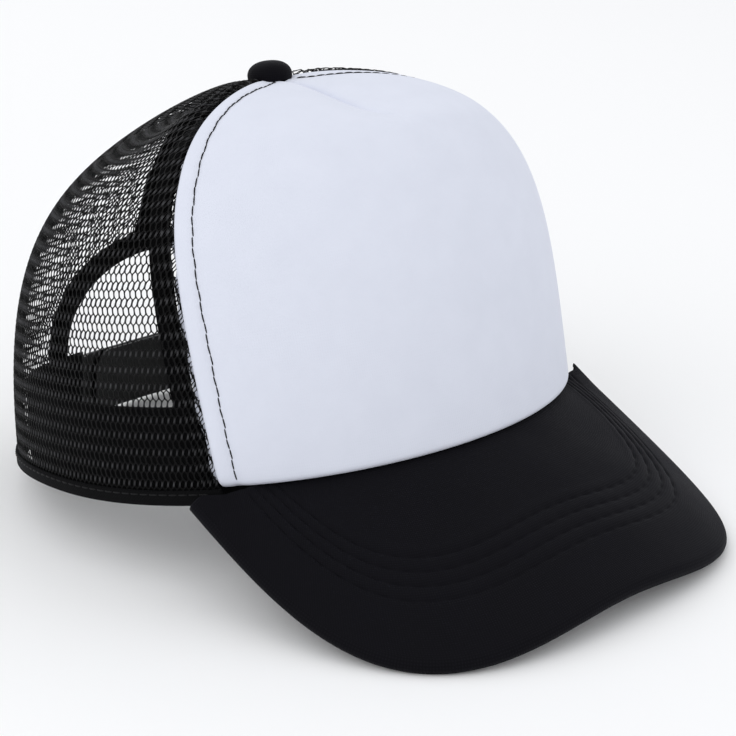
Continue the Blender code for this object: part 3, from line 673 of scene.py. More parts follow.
def round_corners(s, from_seam, from_edge):
    """Lifts the lower edge in a quarter circle at each seam."""
    near_edge = np.clip(1 - from_edge / (3 * CORNER_ROUND), 0, 1)
    return s + quarter_round(from_seam, CORNER_ROUND) * near_edge / WALL_METRES_PER_S


def build_front_cover(white, foam):
    phi, s, from_seam, from_edge, from_centre = front_grid(66, 92)
    s = round_corners(s, from_seam, from_edge)
    offset = cover_offset(from_seam, from_edge, from_centre, s)
    points = crown_point(phi, s, offset)
    faces = grid_faces(*phi.shape)
    piece = new_object("front_panel", points.reshape(-1, 3), faces, white, grid_uv(points))
    held = (from_seam < 1.2 * MM) | (np.abs(from_seam - TOPSTITCH_INSET) < 1.1 * MM)
    held |= (from_edge < 1.0 * MM) | (s > 0.93) | ((s > 0.78) & (from_centre < 0.6 * MM))
    puff_up(piece, held.ravel())
    thicken(piece, COVER_THICKNESS)
    smooth_surface = piece.modifiers.new("fine", "SUBSURF")
    smooth_surface.levels = 1
    smooth_surface.render_levels = 1
    finish_piece(piece, ("front_panel_cover",))

    phi, s, from_seam, from_edge, from_centre = front_grid(40, 60)
    shrink = 1 - 2.5 * MM / np.maximum(from_seam[:, :1] + 30 * MM, 30 * MM)
    inner = FOAM_FACE + cover_offset(from_seam, from_edge, from_centre, s) * 0.25
    points = crown_point(phi * shrink, s, inner)
    backing = sheet_object("front_panel_foam_layer", points, foam, FOAM_THICKNESS)
    finish_piece(backing, ("front_panel_foam",))


def vertex_places(mesh):
    places = np.zeros(len(mesh.vertices) * 3)
    mesh.vertices.foreach_get("co", places)
    return places.reshape(-1, 3)


def puff_up(piece, held):
    """Lets the foam push the cloth out between its stitched lines, and keeps the result."""
    start = vertex_places(piece.data)
    pins = piece.vertex_groups.new(name="stitched")
    pins.add(np.flatnonzero(held).tolist(), 1.0, "REPLACE")
    cloth = piece.modifiers.new("cloth", "CLOTH")
    for key, value in CLOTH_SETTINGS.items():
        setattr(cloth.settings, key, value)
    cloth.settings.vertex_group_mass = pins.name
    cloth.settings.effector_weights.gravity = 0
    cloth.point_cache.frame_start = 1
    cloth.point_cache.frame_end = CLOTH_FRAMES
    scene = bpy.context.scene
    for number in range(1, CLOTH_FRAMES + 1):
        scene.frame_set(number)
    graph = bpy.context.evaluated_depsgraph_get()
    move = vertex_places(piece.evaluated_get(graph).to_mesh()) - start
    piece.evaluated_get(graph).to_mesh_clear()
    piece.modifiers.remove(cloth)
    scene.frame_set(1)
    size = np.linalg.norm(move, axis=1, keepdims=True)
    move *= LARGEST_PUFF * np.tanh(size / LARGEST_PUFF) / np.maximum(size, 1e-9)
    piece.data.vertices.foreach_set("co", (start + move).ravel())
    piece.data.update()


def build_seam_allowances(white):
    """The white cloth's turned-under edge, which shows in specks through the net."""
    for side, name in SIDES:
        s = np.linspace(0.03, 0.93, 90)[:, None]
        ragged = 0.8 * MM * np.sin(s * 61) * np.sin(s * 23 + side) - 1.0 * MM * smooth(s, 0.25, 0.5)
        across = np.linspace(0.8 * MM, -1, 6)[None, :]
        across = np.where(across < 0, across * (ALLOWANCE_WIDTH + ragged), across)
        points = crown_point(side * beside_front_seam(s, across), s, ALLOWANCE_FACE)
        piece = sheet_object("front_seam_allowance_" + name, points, white, 0.3 * MM, offset=0)
        finish_piece(piece)


def build_topstitches(thread):
    for side, name in SIDES:
        low = s_at_height(0.0, FRONT_PANEL_LIFT) + 0.006
        s = np.linspace(low, TOPSTITCH_TOP_S, 240)
        phi = side * beside_front_seam(s, TOPSTITCH_INSET)
        depth = cover_offset(TOPSTITCH_INSET, FAR, FAR, s)
        threads = Threads()
        sew_on_crown(threads, phi, s, depth + THREAD_RADIUS * 1.1, length=TOPSTITCH_LENGTH,
                     pitch=TOPSTITCH_PITCH, wander=TOPSTITCH_WANDER)
        threads.finish("front_topstitch_thread_" + name, thread, "front_topstitch_" + name)


# ---------------------------------------------------------------- net panels

def arch_half_angle(height):
    """Half the rear opening's width, as an angle, at this height above the rim."""
    rise = np.clip(height / ARCH_HEIGHT, 0, 1) ** (1 / ARCH_SQUARENESS)
    pinch = 1 - ARCH_PINCH * (1 - rise) ** ARCH_PINCH_POWER
    return ARCH_HALF_ANGLE * np.sqrt(1 - rise ** 2) * pinch


def in_panel(panel, phi, s, margin=0.0):
    """Whether a place is on the side or rear net panel; margin is what goes past the front seam."""
    on_crown = (s > 0) & (s < APEX_HOLE_S)
    if panel == "side":
        front = front_seam(s) - margin / np.maximum(crown_radius(phi, s), 1e-4)
        return on_crown & (phi > front) & (phi < REAR_SEAM)
    height = height_above_rim(phi, s)
    half_opening = arch_half_angle(height - OPENING_MARGIN) + OPENING_MARGIN / RIM_HALF_WIDTH
    blocked = (phi > CENTER_BACK - half_opening) & (height < ARCH_HEIGHT + OPENING_MARGIN)
    return on_crown & (phi > REAR_SEAM) & (phi < CENTER_BACK) & ~blocked


def in_turned_edge(panel, phi, s):
    """Whether a place is in the band beside a seam where the net's edge is turned under."""
    first, last = (front_seam(s), REAR_SEAM) if panel == "side" else (REAR_SEAM, CENTER_BACK)
    near = np.minimum(np.abs(phi - first), np.abs(phi - last)) * crown_radius(phi, s)
    return in_panel(panel, phi, s) & (near < TURNED_NET_WIDTH) & (s < TAPE_TOP_S)


def net_swell(phi, s):
    """The net stands a little proud of the front panel beside its seam, near the top."""
    from_seam = np.maximum(phi - front_seam(s), 0) / NET_SWELL_FROM_SEAM
    near_top = smooth(s, 0.60, 0.82) * (1 - smooth(s, 0.96, 0.99))
    return NET_SWELL * near_top * from_seam * np.exp(1 - from_seam)


def net_layer(threads, side, first, last, inside, face, phase):
    """Threads of one panel. Each runs up the net, side-stepping half a cell at each row."""
    middle, half_width = (first + last) / 2, (last - first) / 2
    rows = np.arange(NET_ROWS)
    meridian_s = np.linspace(0, 1, 400)
    climbed = path_length(crown_surface(middle, meridian_s))
    height = ((rows[:, None] + RIB_POINTS) * CELL_HEIGHT + phase * CELL_HEIGHT).ravel()
    height = height[height < climbed[-1]]
    s = np.interp(height, climbed, meridian_s)
    radius = crown_radius(middle, s)
    odd = np.repeat(rows % 2, len(RIB_POINTS))[:len(s)]
    place, spread, thick, lift, glint = (
        np.tile(values, NET_ROWS)[:len(s)]
        for values in (RIB_POINTS, RIB_SPREAD, RIB_RADII, RIB_LIFT, RIB_GLINT))
    slant = RIB_SLANT * (0.5 - place) * (1 - 2 * odd)
    columns = int(half_width * RIM_HALF_WIDTH / CELL_WIDTH) + 3
    for column in range(-columns, columns + 1):
        for lean in (-1, 1):
            spot = (column + 0.5 * lean * odd + phase) * CELL_WIDTH
            spot += lean * (1 - 2 * odd) * spread * RIB_HALF
            phi = middle - side * (spot - side * slant) / np.maximum(radius, 1e-4)
            keep = inside(phi, s) & (np.abs(phi - middle) < half_width * 1.4)
            rise = face + lean * RIB_LEAN_LIFT + lift + net_swell(phi, s)
            # Painted highlight: only the ribs of even rows get the lighter glint colour
            add_runs(threads, side * phi, s, rise, keep, thick, glint * (1 - odd))


def add_runs(threads, phi, s, offset, keep, radius, glint):
    """Adds each unbroken stretch of kept points as its own thread."""
    edges = np.flatnonzero(np.diff(np.concatenate(([0], keep.astype(int), [0]))))
    for first, end in zip(edges[::2], edges[1::2]):
        if end - first > 2:
            part = slice(first, end)
            path = crown_point(phi[part], s[part], offset[part])
            threads.add(path, crown_normal(phi[part], s[part]), radius[part], glint[part])


def build_nets(yarn):
    for side, hand in SIDES:
        for panel, first, last in (("side", FRONT_SEAM_LOW, REAR_SEAM), ("rear", REAR_SEAM, CENTER_BACK)):
            def whole(phi, s):
                return in_panel(panel, phi, s, NET_MARGIN)

            def turned(phi, s):
                return in_turned_edge(panel, phi, s)

            threads = Threads(NET_THREAD_RADIUS, sides=4)
            net_layer(threads, side, first, last, whole, NET_FACE, 0.0)
            net_layer(threads, side, first, last, turned, DOUBLED_NET_FACE, TURNED_NET_PHASE)
            threads.finish(f"{panel}_mesh_net_{hand}", yarn, f"{panel}_mesh_{hand}", slot="mesh_net")


# ---------------------------------------------------------------- tapes and sweatband

def build_tape(name, seam, edges, low, face, cloth, thread):
    """Strip between two distances from a seam, narrowed near the top, and sewn near both edges."""
    def angle(across, s):
        line = seam(s)
        radius = crown_radius(line, s)
        distance = edges[0] + (edges[1] - edges[0]) * across
        return line + distance * np.minimum(1, radius / TAPE_FULL_WIDTH_RADIUS) / radius

    s = np.linspace(low, TAPE_TOP_S, 90)[:, None]
    across = np.linspace(0, 1, 9)[None, :]
    crowned = face - TAPE_CROWN * np.sin(math.pi * across) + TAPE_RIPPLE * np.sin(s * 260)
    points = crown_point(angle(across, s), s, crowned)
    piece = sheet_object(name + "_cloth", points, cloth, TAPE_THICKNESS)
    finish_piece(piece, (name,))
    threads = Threads()
    line_s = np.linspace(low, TAPE_STITCH_TOP_S, 160)
    for share in (0.14, 0.86):
        inside = face - TAPE_THICKNESS - TAPE_CROWN
        sew_on_crown(threads, angle(share, line_s), line_s, inside, face=-1)
    threads.finish(name + "_stitches", thread)


def build_tapes(cloth, thread):
    low = float(s_at_height(REAR_SEAM, TAPE_LOW))
    above_arch = float(s_at_height(CENTER_BACK, ARCH_HEIGHT + BINDING_WIDTH + 0.001))
    for side, name in SIDES:
        edges = sorted((side * FRONT_TAPE_START, side * FRONT_TAPE_END))
        build_tape("front_seam_tape_" + name, lambda s: side * front_seam(s), edges, low, TAPE_FACE,
                   cloth, thread)
    straight = [("rear_seam_tape_" + name, side * REAR_SEAM, REAR_TAPE_HALF, low, TAPE_FACE)
                for side, name in SIDES]
    straight.append(("center_back_tape", CENTER_BACK, BACK_TAPE_HALF, above_arch, TAPE_FACE))
    straight.append(("dart_tape", 0.0, DART_TAPE_HALF, DART_TAPE_LOW_S, DART_TAPE_FACE))
    for name, seam, half, start, face in straight:
        build_tape(name, lambda s: 0 * s + seam, (-half, half), start, face, cloth, thread)


def arch_place(t):
    """phi and s on the rear opening's edge, for t from 0 (left leg) to 1 (right leg)."""
    turn = math.pi * t
    rise = np.abs(np.sin(turn))
    height = ARCH_HEIGHT * np.where(rise < 1e-6, 0, rise) ** ARCH_SQUARENESS
    pinch = 1 - ARCH_PINCH * (1 - rise) ** ARCH_PINCH_POWER
    phi = CENTER_BACK - ARCH_HALF_ANGLE * np.cos(turn) * pinch
    return phi, s_at_height(phi, height)


def build_sweatband(cloth, thread):
    """Folded, lightly padded band: a closed section carried round the inside of the rim."""
    end = float(arch_place(np.array(0.0))[0]) - 0.001 / RIM_HALF_WIDTH
    phi = np.linspace(-end, end, 260)[:, None]
    turn = full_turn(36)[None, :]
    middle = (SWEATBAND_LOW + SWEATBAND_HIGH) / 2
    half = (SWEATBAND_HIGH - SWEATBAND_LOW) / 2
    height = middle + half * np.sign(np.cos(turn)) * np.abs(np.cos(turn)) ** 0.45
    inner = np.sign(np.sin(turn)) * np.abs(np.sin(turn)) ** 0.6
    up = (height - SWEATBAND_LOW) / (2 * half)
    quilt = 1 - 0.75 * bump(up, 0.88, 0.035) - 0.6 * bump(up, 0.10, 0.03)
    ripple = SWEATBAND_RIPPLE * np.sin(phi * 97 + 2 * np.sin(phi * 23)) * smooth(up, 0.45, 0.9)
    thick = np.where(inner > 0, (SWEATBAND_PADDING + ripple) * quilt, SWEATBAND_BACK)
    offset = SWEATBAND_MIDDLE_FACE - inner * thick
    phi, height = np.broadcast_arrays(phi, height)
    rings = crown_point(phi, s_at_height(phi, height), offset)
    piece = loft_object("sweatband_cloth", rings, cloth)
    finish_piece(piece, ("sweatband",))

    threads = Threads()
    line = np.linspace(-end + 0.02, end - 0.02, 600)
    for share in (0.10, 0.88):
        line_s = s_at_height(line, SWEATBAND_LOW + 2 * half * share)
        sew_on_crown(threads, line, line_s, SWEATBAND_STITCH_FACE, face=-1)
    threads.finish("sweatband_stitches", thread)


# ---------------------------------------------------------------- bindings

def hairpin(width, outer, inner):
    """Outline of a folded strip round an edge, as (depth into the fabric, offset) pairs."""
    middle = (outer + inner) / 2
    turn = np.linspace(math.pi / 2, -math.pi / 2, 9)
    outline = []
    for shrink, order in ((0, 1), (BINDING_THICKNESS, -1)):
        radius = (outer - inner) / 2 - shrink
        bend = [(-0.55 * radius * math.cos(a), middle + radius * math.sin(a)) for a in turn]
        legs = [(width * k, middle + radius) for k in (1.0, 0.66, 0.33)]
        legs_back = [(width * k, middle - radius) for k in (0.33, 0.66, 1.0)]
        outline += (legs + bend + legs_back)[::order]
    return outline


def binding_rings(place, t, outline):
    step = 1e-3
    before, after = place(np.maximum(t - step, 0)), place(np.minimum(t + step, 1))
    phi, s = place(t)
    along_phi, along_s = crown_slopes(phi, s)
    path = along_phi * (after[0] - before[0])[:, None] + along_s * (after[1] - before[1])[:, None]
    normal = unit(np.cross(along_phi, along_s))
    into_fabric = unit(np.cross(normal, path))
    rings = []
    for depth, offset in outline:
        d_phi = (into_fabric * along_phi).sum(-1) / (along_phi ** 2).sum(-1) * depth
        d_s = (into_fabric * along_s).sum(-1) / (along_s ** 2).sum(-1) * depth
        rings.append(crown_point(phi + d_phi, s + d_s, offset))
    return np.stack(rings, axis=1)


def build_bindings(cloth, thread):
    def sewn_line(name, place, t, depth, offset):
        line = binding_rings(place, t, [(depth, offset)])[:, 0]
        outward = binding_rings(place, t, [(depth, offset + MM)])[:, 0] - line
        threads = Threads()
        sew(threads, line, unit(outward))
        threads.finish(name, thread)

    t = np.linspace(0, 1, 200)
    rings = binding_rings(arch_place, t, hairpin(BINDING_WIDTH, BINDING_OUTER, BINDING_INNER))
    finish_piece(loft_object("arch_binding_cloth", rings, cloth), ("arch_binding",))
    inner_t = np.linspace(0.02, 0.98, 400)
    sewn_line("arch_binding_stitches", arch_place, inner_t, BINDING_WIDTH - 1.6 * MM, BINDING_OUTER)

    start = FRONT_SEAM_LOW - 0.006
    end = float(arch_place(np.array(0.0))[0]) - (BINDING_WIDTH + 0.0003) / RIM_HALF_WIDTH
    for name, first, last in (("right", -end, -start), ("left", start, end)):
        def rim_place(t):
            return first + (last - first) * t, 0 * t

        rings = binding_rings(rim_place, t, hairpin(HEM_WIDTH, HEM_OUTER, HEM_INNER))
        finish_piece(loft_object("hem_cloth_" + name, rings, cloth), ("hem_" + name,))
        sewn_line("hem_stitches_" + name, rim_place, inner_t, HEM_WIDTH - 1.2 * MM, HEM_OUTER)


# ---------------------------------------------------------------- snap strap

def strap_angle(distance):
    return distance / RIM_HALF_WIDTH


def hinge_angle():
    """Angle from the centre back to where each strap leaves the fabric."""
    t = np.arange(1, 40) / 200
    phi, s = arch_place(t)
    low = s < s_at_height(CENTER_BACK, STRAP_HIGH)
    return float((CENTER_BACK - phi)[low].min()) - strap_angle(HINGE_FROM_BINDING)


def strap_face(side, angle):
    """The hole strap leaves the fabric level with its tab and steps over the pegs."""
    if side > 0:
        return np.full_like(angle, STRAP_FACE)
    start, end = -hinge_angle(), -tip_angle() - strap_angle(0.003)
    return STRAP_FACE + (HOLE_STRAP_RAISED_FACE - STRAP_FACE) * smooth(angle, start, end)


def tip_angle():
    return strap_angle(STRAP_END_TO_PEG + ENGAGED_STEPS / 2 * STRAP_PITCH)


def strap_place(side, distance, height, lift):
    """A point of the flat strap laid round the cap; distance runs from its tip."""
    angle = side * (strap_angle(distance) - tip_angle())
    offset = strap_face(side, angle) - STRAP_THICKNESS / 2 + lift
    return crown_point(CENTER_BACK - angle, s_at_height(CENTER_BACK - angle, height), offset)


def flat_strap(name, length, holes):
    """Flat strap with a round tip and rounded edges: x from the tip, y up, z its thickness."""
    curve = bpy.data.curves.new(name, "CURVE")
    curve.dimensions = "2D"
    curve.fill_mode = "BOTH"
    curve.extrude = STRAP_THICKNESS / 2 - STRAP_EDGE
    curve.bevel_depth = STRAP_EDGE
    curve.bevel_resolution = 2
    half = (STRAP_HIGH - STRAP_LOW) / 2 - STRAP_EDGE
    tip = STRAP_TIP_RADIUS
    outline = [(length, half)]
    for a in np.linspace(math.pi / 2, -math.pi / 2, 21):
        y = (half - tip) * math.copysign(1, a) + tip * math.sin(a)
        outline.append((STRAP_EDGE + tip - tip * math.cos(a), y))
    outline.append((length, -half))
    radius = HOLE_RADIUS + STRAP_EDGE
    loops = [outline]
    for x in holes:
        loops.append([(x + radius * math.cos(a), radius * math.sin(a)) for a in full_turn(32)])
    for loop in loops:
        spline = curve.splines.new("POLY")
        spline.points.add(len(loop) - 1)
        spline.use_cyclic_u = True
        for point, (x, y) in zip(spline.points, loop):
            point.co = (x, y, 0, 1)
    drawn = link_object(name, curve)
    graph = bpy.context.evaluated_depsgraph_get()
    mesh = bpy.data.meshes.new_from_object(drawn.evaluated_get(graph))
    bpy.data.objects.remove(drawn)
    bm = bmesh.new()
    bm.from_mesh(mesh)
    bmesh.ops.remove_doubles(bm, verts=bm.verts, dist=WELD)
    for x in np.arange(STRAP_STEP, length, STRAP_STEP):
        parts = bm.verts[:] + bm.edges[:] + bm.faces[:]
        bmesh.ops.bisect_plane(bm, geom=parts, plane_co=(x, 0, 0), plane_no=(1, 0, 0), dist=1e-7)
    bm.to_mesh(mesh)
    bm.free()
    return mesh


def build_straps(plastic):
    steps = [STRAP_END_TO_PEG + STRAP_PITCH * k for k in range(PEG_COUNT)]
    hinge_distance = (hinge_angle() + tip_angle()) * RIM_HALF_WIDTH
    length = hinge_distance + TAB_LENGTH
    middle = (STRAP_LOW + STRAP_HIGH) / 2
    for side, name, body in ((1, "peg_strap", "left_strap"), (-1, "hole_strap", "right_strap")):
        mesh = flat_strap(name + "_moulding", length, steps if side < 0 else [])
        flat = np.array([v.co for v in mesh.vertices])
        placed = strap_place(side, flat[:, 0], middle + flat[:, 1], flat[:, 2])
        mesh.vertices.foreach_set("co", to_world(placed).ravel())
        mesh.materials.clear()
        mesh.materials.append(plastic)
        mesh.shade_smooth()
        mesh.set_sharp_from_angle(angle=math.radians(50))
        piece = link_object(name + "_moulding", mesh)
        turn_outwards(piece)
        ends = [to_world(strap_place(side, np.array(hinge_distance + d), middle, np.array(0.0)))
                for d in (STRAP_BLEND, -STRAP_BLEND)]
        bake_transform(piece)
        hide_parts(name, name + "_tab")
    build_pegs(steps, middle, plastic)


def build_pegs(steps, middle, plastic):
    """Turned pegs with a rounded head, standing on the peg strap."""
    profile = ((0.0, 1.0), (0.45, 0.97), (0.85, 0.86), (1.0, 0.72), (0.97, 0.60), (0.80, 0.52),
               (0.80, 0.15), (0.98, 0.02), (1.05, -0.05))
    turn = full_turn(24)
    points, faces, count = [], [], 0
    for step in steps:
        base = strap_place(1, np.array(step), middle, np.array(STRAP_THICKNESS / 2))
        phi = CENTER_BACK - (strap_angle(step) - tip_angle())
        s = float(s_at_height(phi, middle))
        up = crown_normal(phi, s)
        across = unit(np.cross(up, (0.0, 0.0, 1.0)))
        other = np.cross(up, across)
        for share, height in profile:
            ring = (np.cos(turn)[:, None] * across + np.sin(turn)[:, None] * other) * share
            points.append(base + ring * PEG_HEAD_RADIUS + up * height * PEG_HEIGHT)
        faces += (np.array(grid_faces(len(profile), len(turn), closed=True)) + count).tolist()
        count += len(profile) * len(turn)
    piece = new_object("strap_pegs", np.concatenate(points), faces, plastic)
    turn_outwards(piece, close=True)
    finish_piece(piece, body="left_strap")


def build_bartacks(thread):
    """Dense zigzag stitches through the binding, the strap's tab and the sweatband."""
    height = BARTACK_LOW + BARTACK_HEIGHT * np.linspace(0, 1, BARTACK_STITCHES)
    swing = strap_angle(BARTACK_HALF_WIDTH) * np.where(np.arange(BARTACK_STITCHES) % 2, 1, -1)
    angle = hinge_angle() + strap_angle(BARTACK_FROM_HINGE) + swing
    for side, name in SIDES[::-1]:
        phi = CENTER_BACK - side * angle
        s = s_at_height(phi, height)
        threads = Threads(THREAD_RADIUS * 1.1)
        threads.add(crown_point(phi, s, BARTACK_FACE), crown_normal(phi, s))
        threads.finish("bartack_thread_" + name, thread, "bartack_" + name)


# ---------------------------------------------------------------- button

def build_button(cloth, steel):
    """Cloth pulled over a domed shell, with soft gathers round its underside."""
    turn = full_turn(96)
    under, top = CROWN_HEIGHT + BUTTON_BASE, CROWN_HEIGHT + BUTTON_HEIGHT
    rings = []
    for climb in np.linspace(-BUTTON_UNDERCUT, math.pi / 2 - 0.03, 30):
        below = BUTTON_WAIST * math.sin(climb) / math.sin(BUTTON_UNDERCUT)
        lift = BUTTON_WAIST + (below if climb < 0 else (1 - BUTTON_WAIST) * math.sin(climb))
        gather = 1 + 0.02 * np.sin(turn * 14) * (1 - lift) ** 2
        radius = BUTTON_RADIUS * math.cos(climb) ** 0.8 * gather
        rings.append(ring_about_apex(radius, turn, under + (top - under) * lift))
    piece = loft_object("button_cloth", np.stack(rings), cloth)
    finish_piece(piece, ("button_shell",))
    build_button_back(steel)


def build_button_back(steel):
    """Domed plate under the crown with a rolled rim and the shank that grips the shell."""
    top = CROWN_HEIGHT + BUTTON_BACK_FACE
    profile = ((1.5, 5.6), (1.5, 0.5), (1.9, 0.1), (4.6, 0.0), (5.7, -0.1), (6.0, -0.5), (5.8, -0.9),
               (5.3, -1.0), (4.2, -1.25), (2.0, -1.6), (0.4, -1.7))
    rings = [ring_about_apex(r * MM, full_turn(64), top + z * MM) for r, z in profile]
    piece = loft_object("button_prong_plate", np.stack(rings), steel)
    finish_piece(piece, ("button_back",))


# ---------------------------------------------------------------- brim

def brim_height(x, y):
    drop = math.tan(BRIM_SLOPE) * (-y - RIM_HALF_LENGTH)
    arch = BRIM_ARCH_RADIUS - np.sqrt(BRIM_ARCH_RADIUS ** 2 - x * x)
    return RIM_FRONT_RISE - drop - arch


def brim_outline(u):
    """The flat outline: a squarish half oval from the right end to the left end."""
    back = -RIM_HALF_LENGTH * math.cos(BRIM_HALF_ANGLE)
    reach = RIM_HALF_LENGTH + BRIM_LENGTH + back
    turn = math.pi * u
    n = BRIM_SQUARENESS
    across = np.abs(np.cos(turn)) / BRIM_HALF_WIDTH
    forward = np.abs(np.sin(turn)) / reach
    radius = (across ** n + forward ** n) ** (-1 / n)
    return np.stack((-radius * np.cos(turn), back - radius * np.sin(turn)), -1)


def brim_middle(u, v):
    """Points on the brim's middle surface, from the crown (v = 0) to the edge (v = 1)."""
    u, v = np.broadcast_arrays(np.asarray(u, float), v)
    phi = BRIM_HALF_ANGLE * (2 * u - 1)
    share = np.clip((np.abs(phi) - TUCK_END) / (TUCK_GONE - TUCK_END), 0, 1)
    tuck = BRIM_TUCK + (BRIM_END_OFFSET - BRIM_TUCK) * share
    seat = crown_point(phi, s_at_height(phi, BRIM_SEAT), tuck)
    flat = seat[..., :2] + (brim_outline(u) - seat[..., :2]) * v[..., None]
    level = brim_height(flat[..., 0], flat[..., 1]) + BRIM_SEAT * (1 - v)
    seat_error = seat[..., 2] - brim_height(seat[..., 0], seat[..., 1]) - BRIM_SEAT
    return np.concatenate((flat, (level + seat_error * (1 - v) ** 2)[..., None]), -1)


def brim_normal(points):
    x = points[..., 0]
    side_slope = -x / np.sqrt(BRIM_ARCH_RADIUS ** 2 - x ** 2)
    slope = np.full_like(x, -math.tan(BRIM_SLOPE))
    return unit(np.stack((-side_slope, slope, np.ones_like(x)), -1))


def brim_outward(u, normal):
    step = 1e-3
    along = brim_outline(np.minimum(u + step, 1)) - brim_outline(np.maximum(u - step, 0))
    flat = unit(np.stack((along[..., 1], -along[..., 0], np.zeros_like(u)), -1))
    return unit(flat - normal * (flat * normal).sum(-1, keepdims=True))


def brim_face(from_edge, u, side):
    """How far a cover stands off the middle surface: grooves at the stitch rows."""
    offset = np.full_like(from_edge, BRIM_EDGE_RADIUS)
    for row in range(STITCH_ROWS):
        distance = STITCH_ROW_FIRST + STITCH_ROW_PITCH * row
        pucker = 1 + 0.35 * np.sin(u * 260 + row * 2.1)
        offset -= ROW_GROOVE_DEPTH * pucker * bump(from_edge, distance, ROW_GROOVE_WIDTH)
        offset += ROW_RIDGE_HEIGHT * bump(from_edge, distance + STITCH_ROW_PITCH / 2, ROW_RIDGE_WIDTH)
    wander = np.sin(u * 31 + from_edge * 140) * np.sin(u * 17 - from_edge * 90)
    offset += BRIM_WAVINESS * wander * smooth(from_edge, 1 * MM, 8 * MM)
    return offset * side


def build_brim(cloth, thread, board):
    u = np.linspace(0, 1, 300)
    width = np.linalg.norm(brim_middle(u, 1.0) - brim_middle(u, 0.0), axis=-1)
    for side, name in ((1, "top"), (-1, "under")):
        flat_v = 1 - (np.linspace(1, 0, 130) ** 1.15)
        middle = brim_middle(u[None, :], flat_v[:, None])
        from_edge = (1 - flat_v)[:, None] * width[None, :]
        face = brim_face(from_edge, u[None, :], side)
        surface = middle + brim_normal(middle) * face[..., None]
        angle = np.radians(np.linspace(8, EDGE_ROLL_END[name], 9))[:, None, None]
        edge = brim_middle(u, 1.0)
        normal = brim_normal(edge)
        outward = brim_outward(u, normal)
        roll = edge + (outward * np.sin(angle) + normal * side * np.cos(angle)) * BRIM_EDGE_RADIUS
        points = np.concatenate((surface, roll))
        if side < 0:
            points = points[:, ::-1]
        piece = sheet_object("brim_" + name + "_cloth", points, cloth, BRIM_CLOTH_THICKNESS)
        finish_piece(piece, ("brim_" + name + "_cover",))
        build_brim_stitches(side, name, width, thread)
    frame["nodes"]["brim_board"].data.materials.clear()
    frame["nodes"]["brim_board"].data.materials.append(board)


def build_brim_stitches(side, name, width, thread):
    """Four rows on the top, each its own piece, and the same rows underneath as one."""
    u = np.linspace(0, 1, 1200)
    wide = np.interp(u, np.linspace(0, 1, len(width)), width)
    gathered = Threads()
    for row in range(STITCH_ROWS):
        distance = STITCH_ROW_FIRST + STITCH_ROW_PITCH * row
        v = 1 - distance / wide
        keep = v > 0.06
        middle = brim_middle(u[keep], v[keep])
        normal = brim_normal(middle)
        face = brim_face(np.full(keep.sum(), distance), u[keep], side)
        path = middle + normal * (face + side * 0.10 * MM)[:, None]
        threads = Threads() if side > 0 else gathered
        sew(threads, path, normal * side, wander=0.10 * MM)
        if side > 0:
            threads.finish(f"brim_row_{row + 1}_stitches", thread, f"brim_stitch_row_{row + 1}")
    if side < 0:
        gathered.finish("brim_under_stitches", thread)


# ---------------------------------------------------------------- studio

CAMERA_TARGET = (0.0216, 0.0162, 0.0356)
CAMERA_AZIMUTH, CAMERA_ELEVATION = math.radians(-43.27), math.radians(20.83)
CAMERA_ROLL = math.radians(0.43)
CAMERA_DISTANCE = 0.6926
SENSOR = 36.0
FOCAL_TO_WIDTH = 2.759
WORLD_COLOUR, WORLD_STRENGTH = (0.97, 0.98, 1.0), 0.93
FLOOR_HALF_WIDTH, FLOOR_HEIGHT = 4, -0.0004
LIGHT_TARGET_HEIGHT = 0.06
# name, azimuth and elevation in degrees, distance, diameter, watts
LIGHTS = (
    ("key", -80, 40, 1.3, 0.9, 2.2),
    ("fill", 40, 30, 1.5, 1.0, 0.4),
    ("top", -20, 85, 1.2, 1.0, 0.5),
    ("back", 160, 40, 1.4, 0.9, 1.0),
)


def direction(azimuth, elevation):
    """Unit vector towards a place seen at this azimuth and elevation from the cap."""
    level = math.cos(elevation)
    return Vector((math.sin(azimuth) * level, -math.cos(azimuth) * level, math.sin(elevation)))


def build_camera():
    back = direction(CAMERA_AZIMUTH, CAMERA_ELEVATION)
    data = bpy.data.cameras.new("camera")
    data.sensor_width = SENSOR
    data.lens = SENSOR * FOCAL_TO_WIDTH
    camera = link_object("camera", data)
    camera.location = Vector(CAMERA_TARGET) + back * CAMERA_DISTANCE
    turn = (-back).to_track_quat("-Z", "Y").to_matrix().to_4x4()
    camera.rotation_euler = (turn @ Matrix.Rotation(CAMERA_ROLL, 4, "Z")).to_euler()
    bpy.context.scene.camera = camera


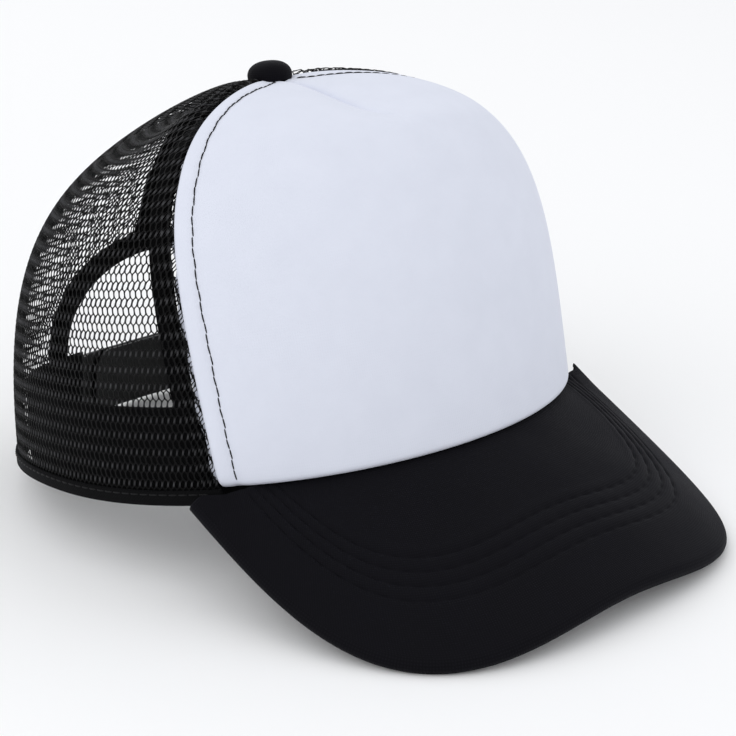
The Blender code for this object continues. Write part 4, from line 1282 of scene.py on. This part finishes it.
def add_area_light(name, azimuth, elevation, distance, size, power):
    back = direction(math.radians(azimuth), math.radians(elevation))
    data = bpy.data.lights.new(name, "AREA")
    data.shape = "DISK"
    data.size = size
    data.energy = power
    lamp = link_object(name, data)
    lamp.location = Vector((0, 0, LIGHT_TARGET_HEIGHT)) + back * distance
    lamp.rotation_euler = (-back).to_track_quat("-Z", "Y").to_euler()


def build_studio():
    scene = bpy.context.scene
    scene.view_settings.view_transform = "Standard"
    world = bpy.data.worlds.new("white_room")
    world.use_nodes = True
    background = world.node_tree.nodes["Background"]
    background.inputs["Color"].default_value = (*WORLD_COLOUR, 1)
    background.inputs["Strength"].default_value = WORLD_STRENGTH
    scene.world = world
    bm = bmesh.new()
    bmesh.ops.create_grid(bm, x_segments=1, y_segments=1, size=FLOOR_HALF_WIDTH)
    mesh = bpy.data.meshes.new("floor")
    bm.to_mesh(mesh)
    bm.free()
    mesh.materials.append(Nodes("pale_floor", (0.95, 0.95, 0.95), 0.9, 0.1).material)
    floor = link_object("floor", mesh)
    floor.location.z = FLOOR_HEIGHT
    for light in LIGHTS:
        add_area_light(*light)


def main():
    build_camera()
    white = white_polyester()
    foam = black_foam()
    knit = woven_black("black_brim_knit", (0.0028, 0.0026, 0.0040), (0.0062, 0.0060, 0.0082),
                       thread=0.0007, sheen=0.035, specular=0.06)
    twill = woven_black("black_twill", (0.0022, 0.0022, 0.0025), (0.0060, 0.0060, 0.0065),
                        thread=0.0010, sheen=0.018, specular=0.05, diagonal=True)
    tape = woven_black("black_seam_tape", (0.0020, 0.0020, 0.0023), (0.0050, 0.0050, 0.0055),
                       thread=0.0008, sheen=0.012, specular=0.04)
    yarn = net_yarn()
    thread = sewing_thread()
    plastic = moulded_plastic()

    build_front_cover(white, foam)
    build_seam_allowances(white)
    build_topstitches(thread)
    build_nets(yarn)
    build_tapes(tape, thread)
    build_sweatband(twill, thread)
    build_bindings(twill, thread)
    build_straps(plastic)
    build_bartacks(thread)
    build_button(knit, plated_steel())
    build_brim(knit, thread, board_plastic())
    build_studio()


main()
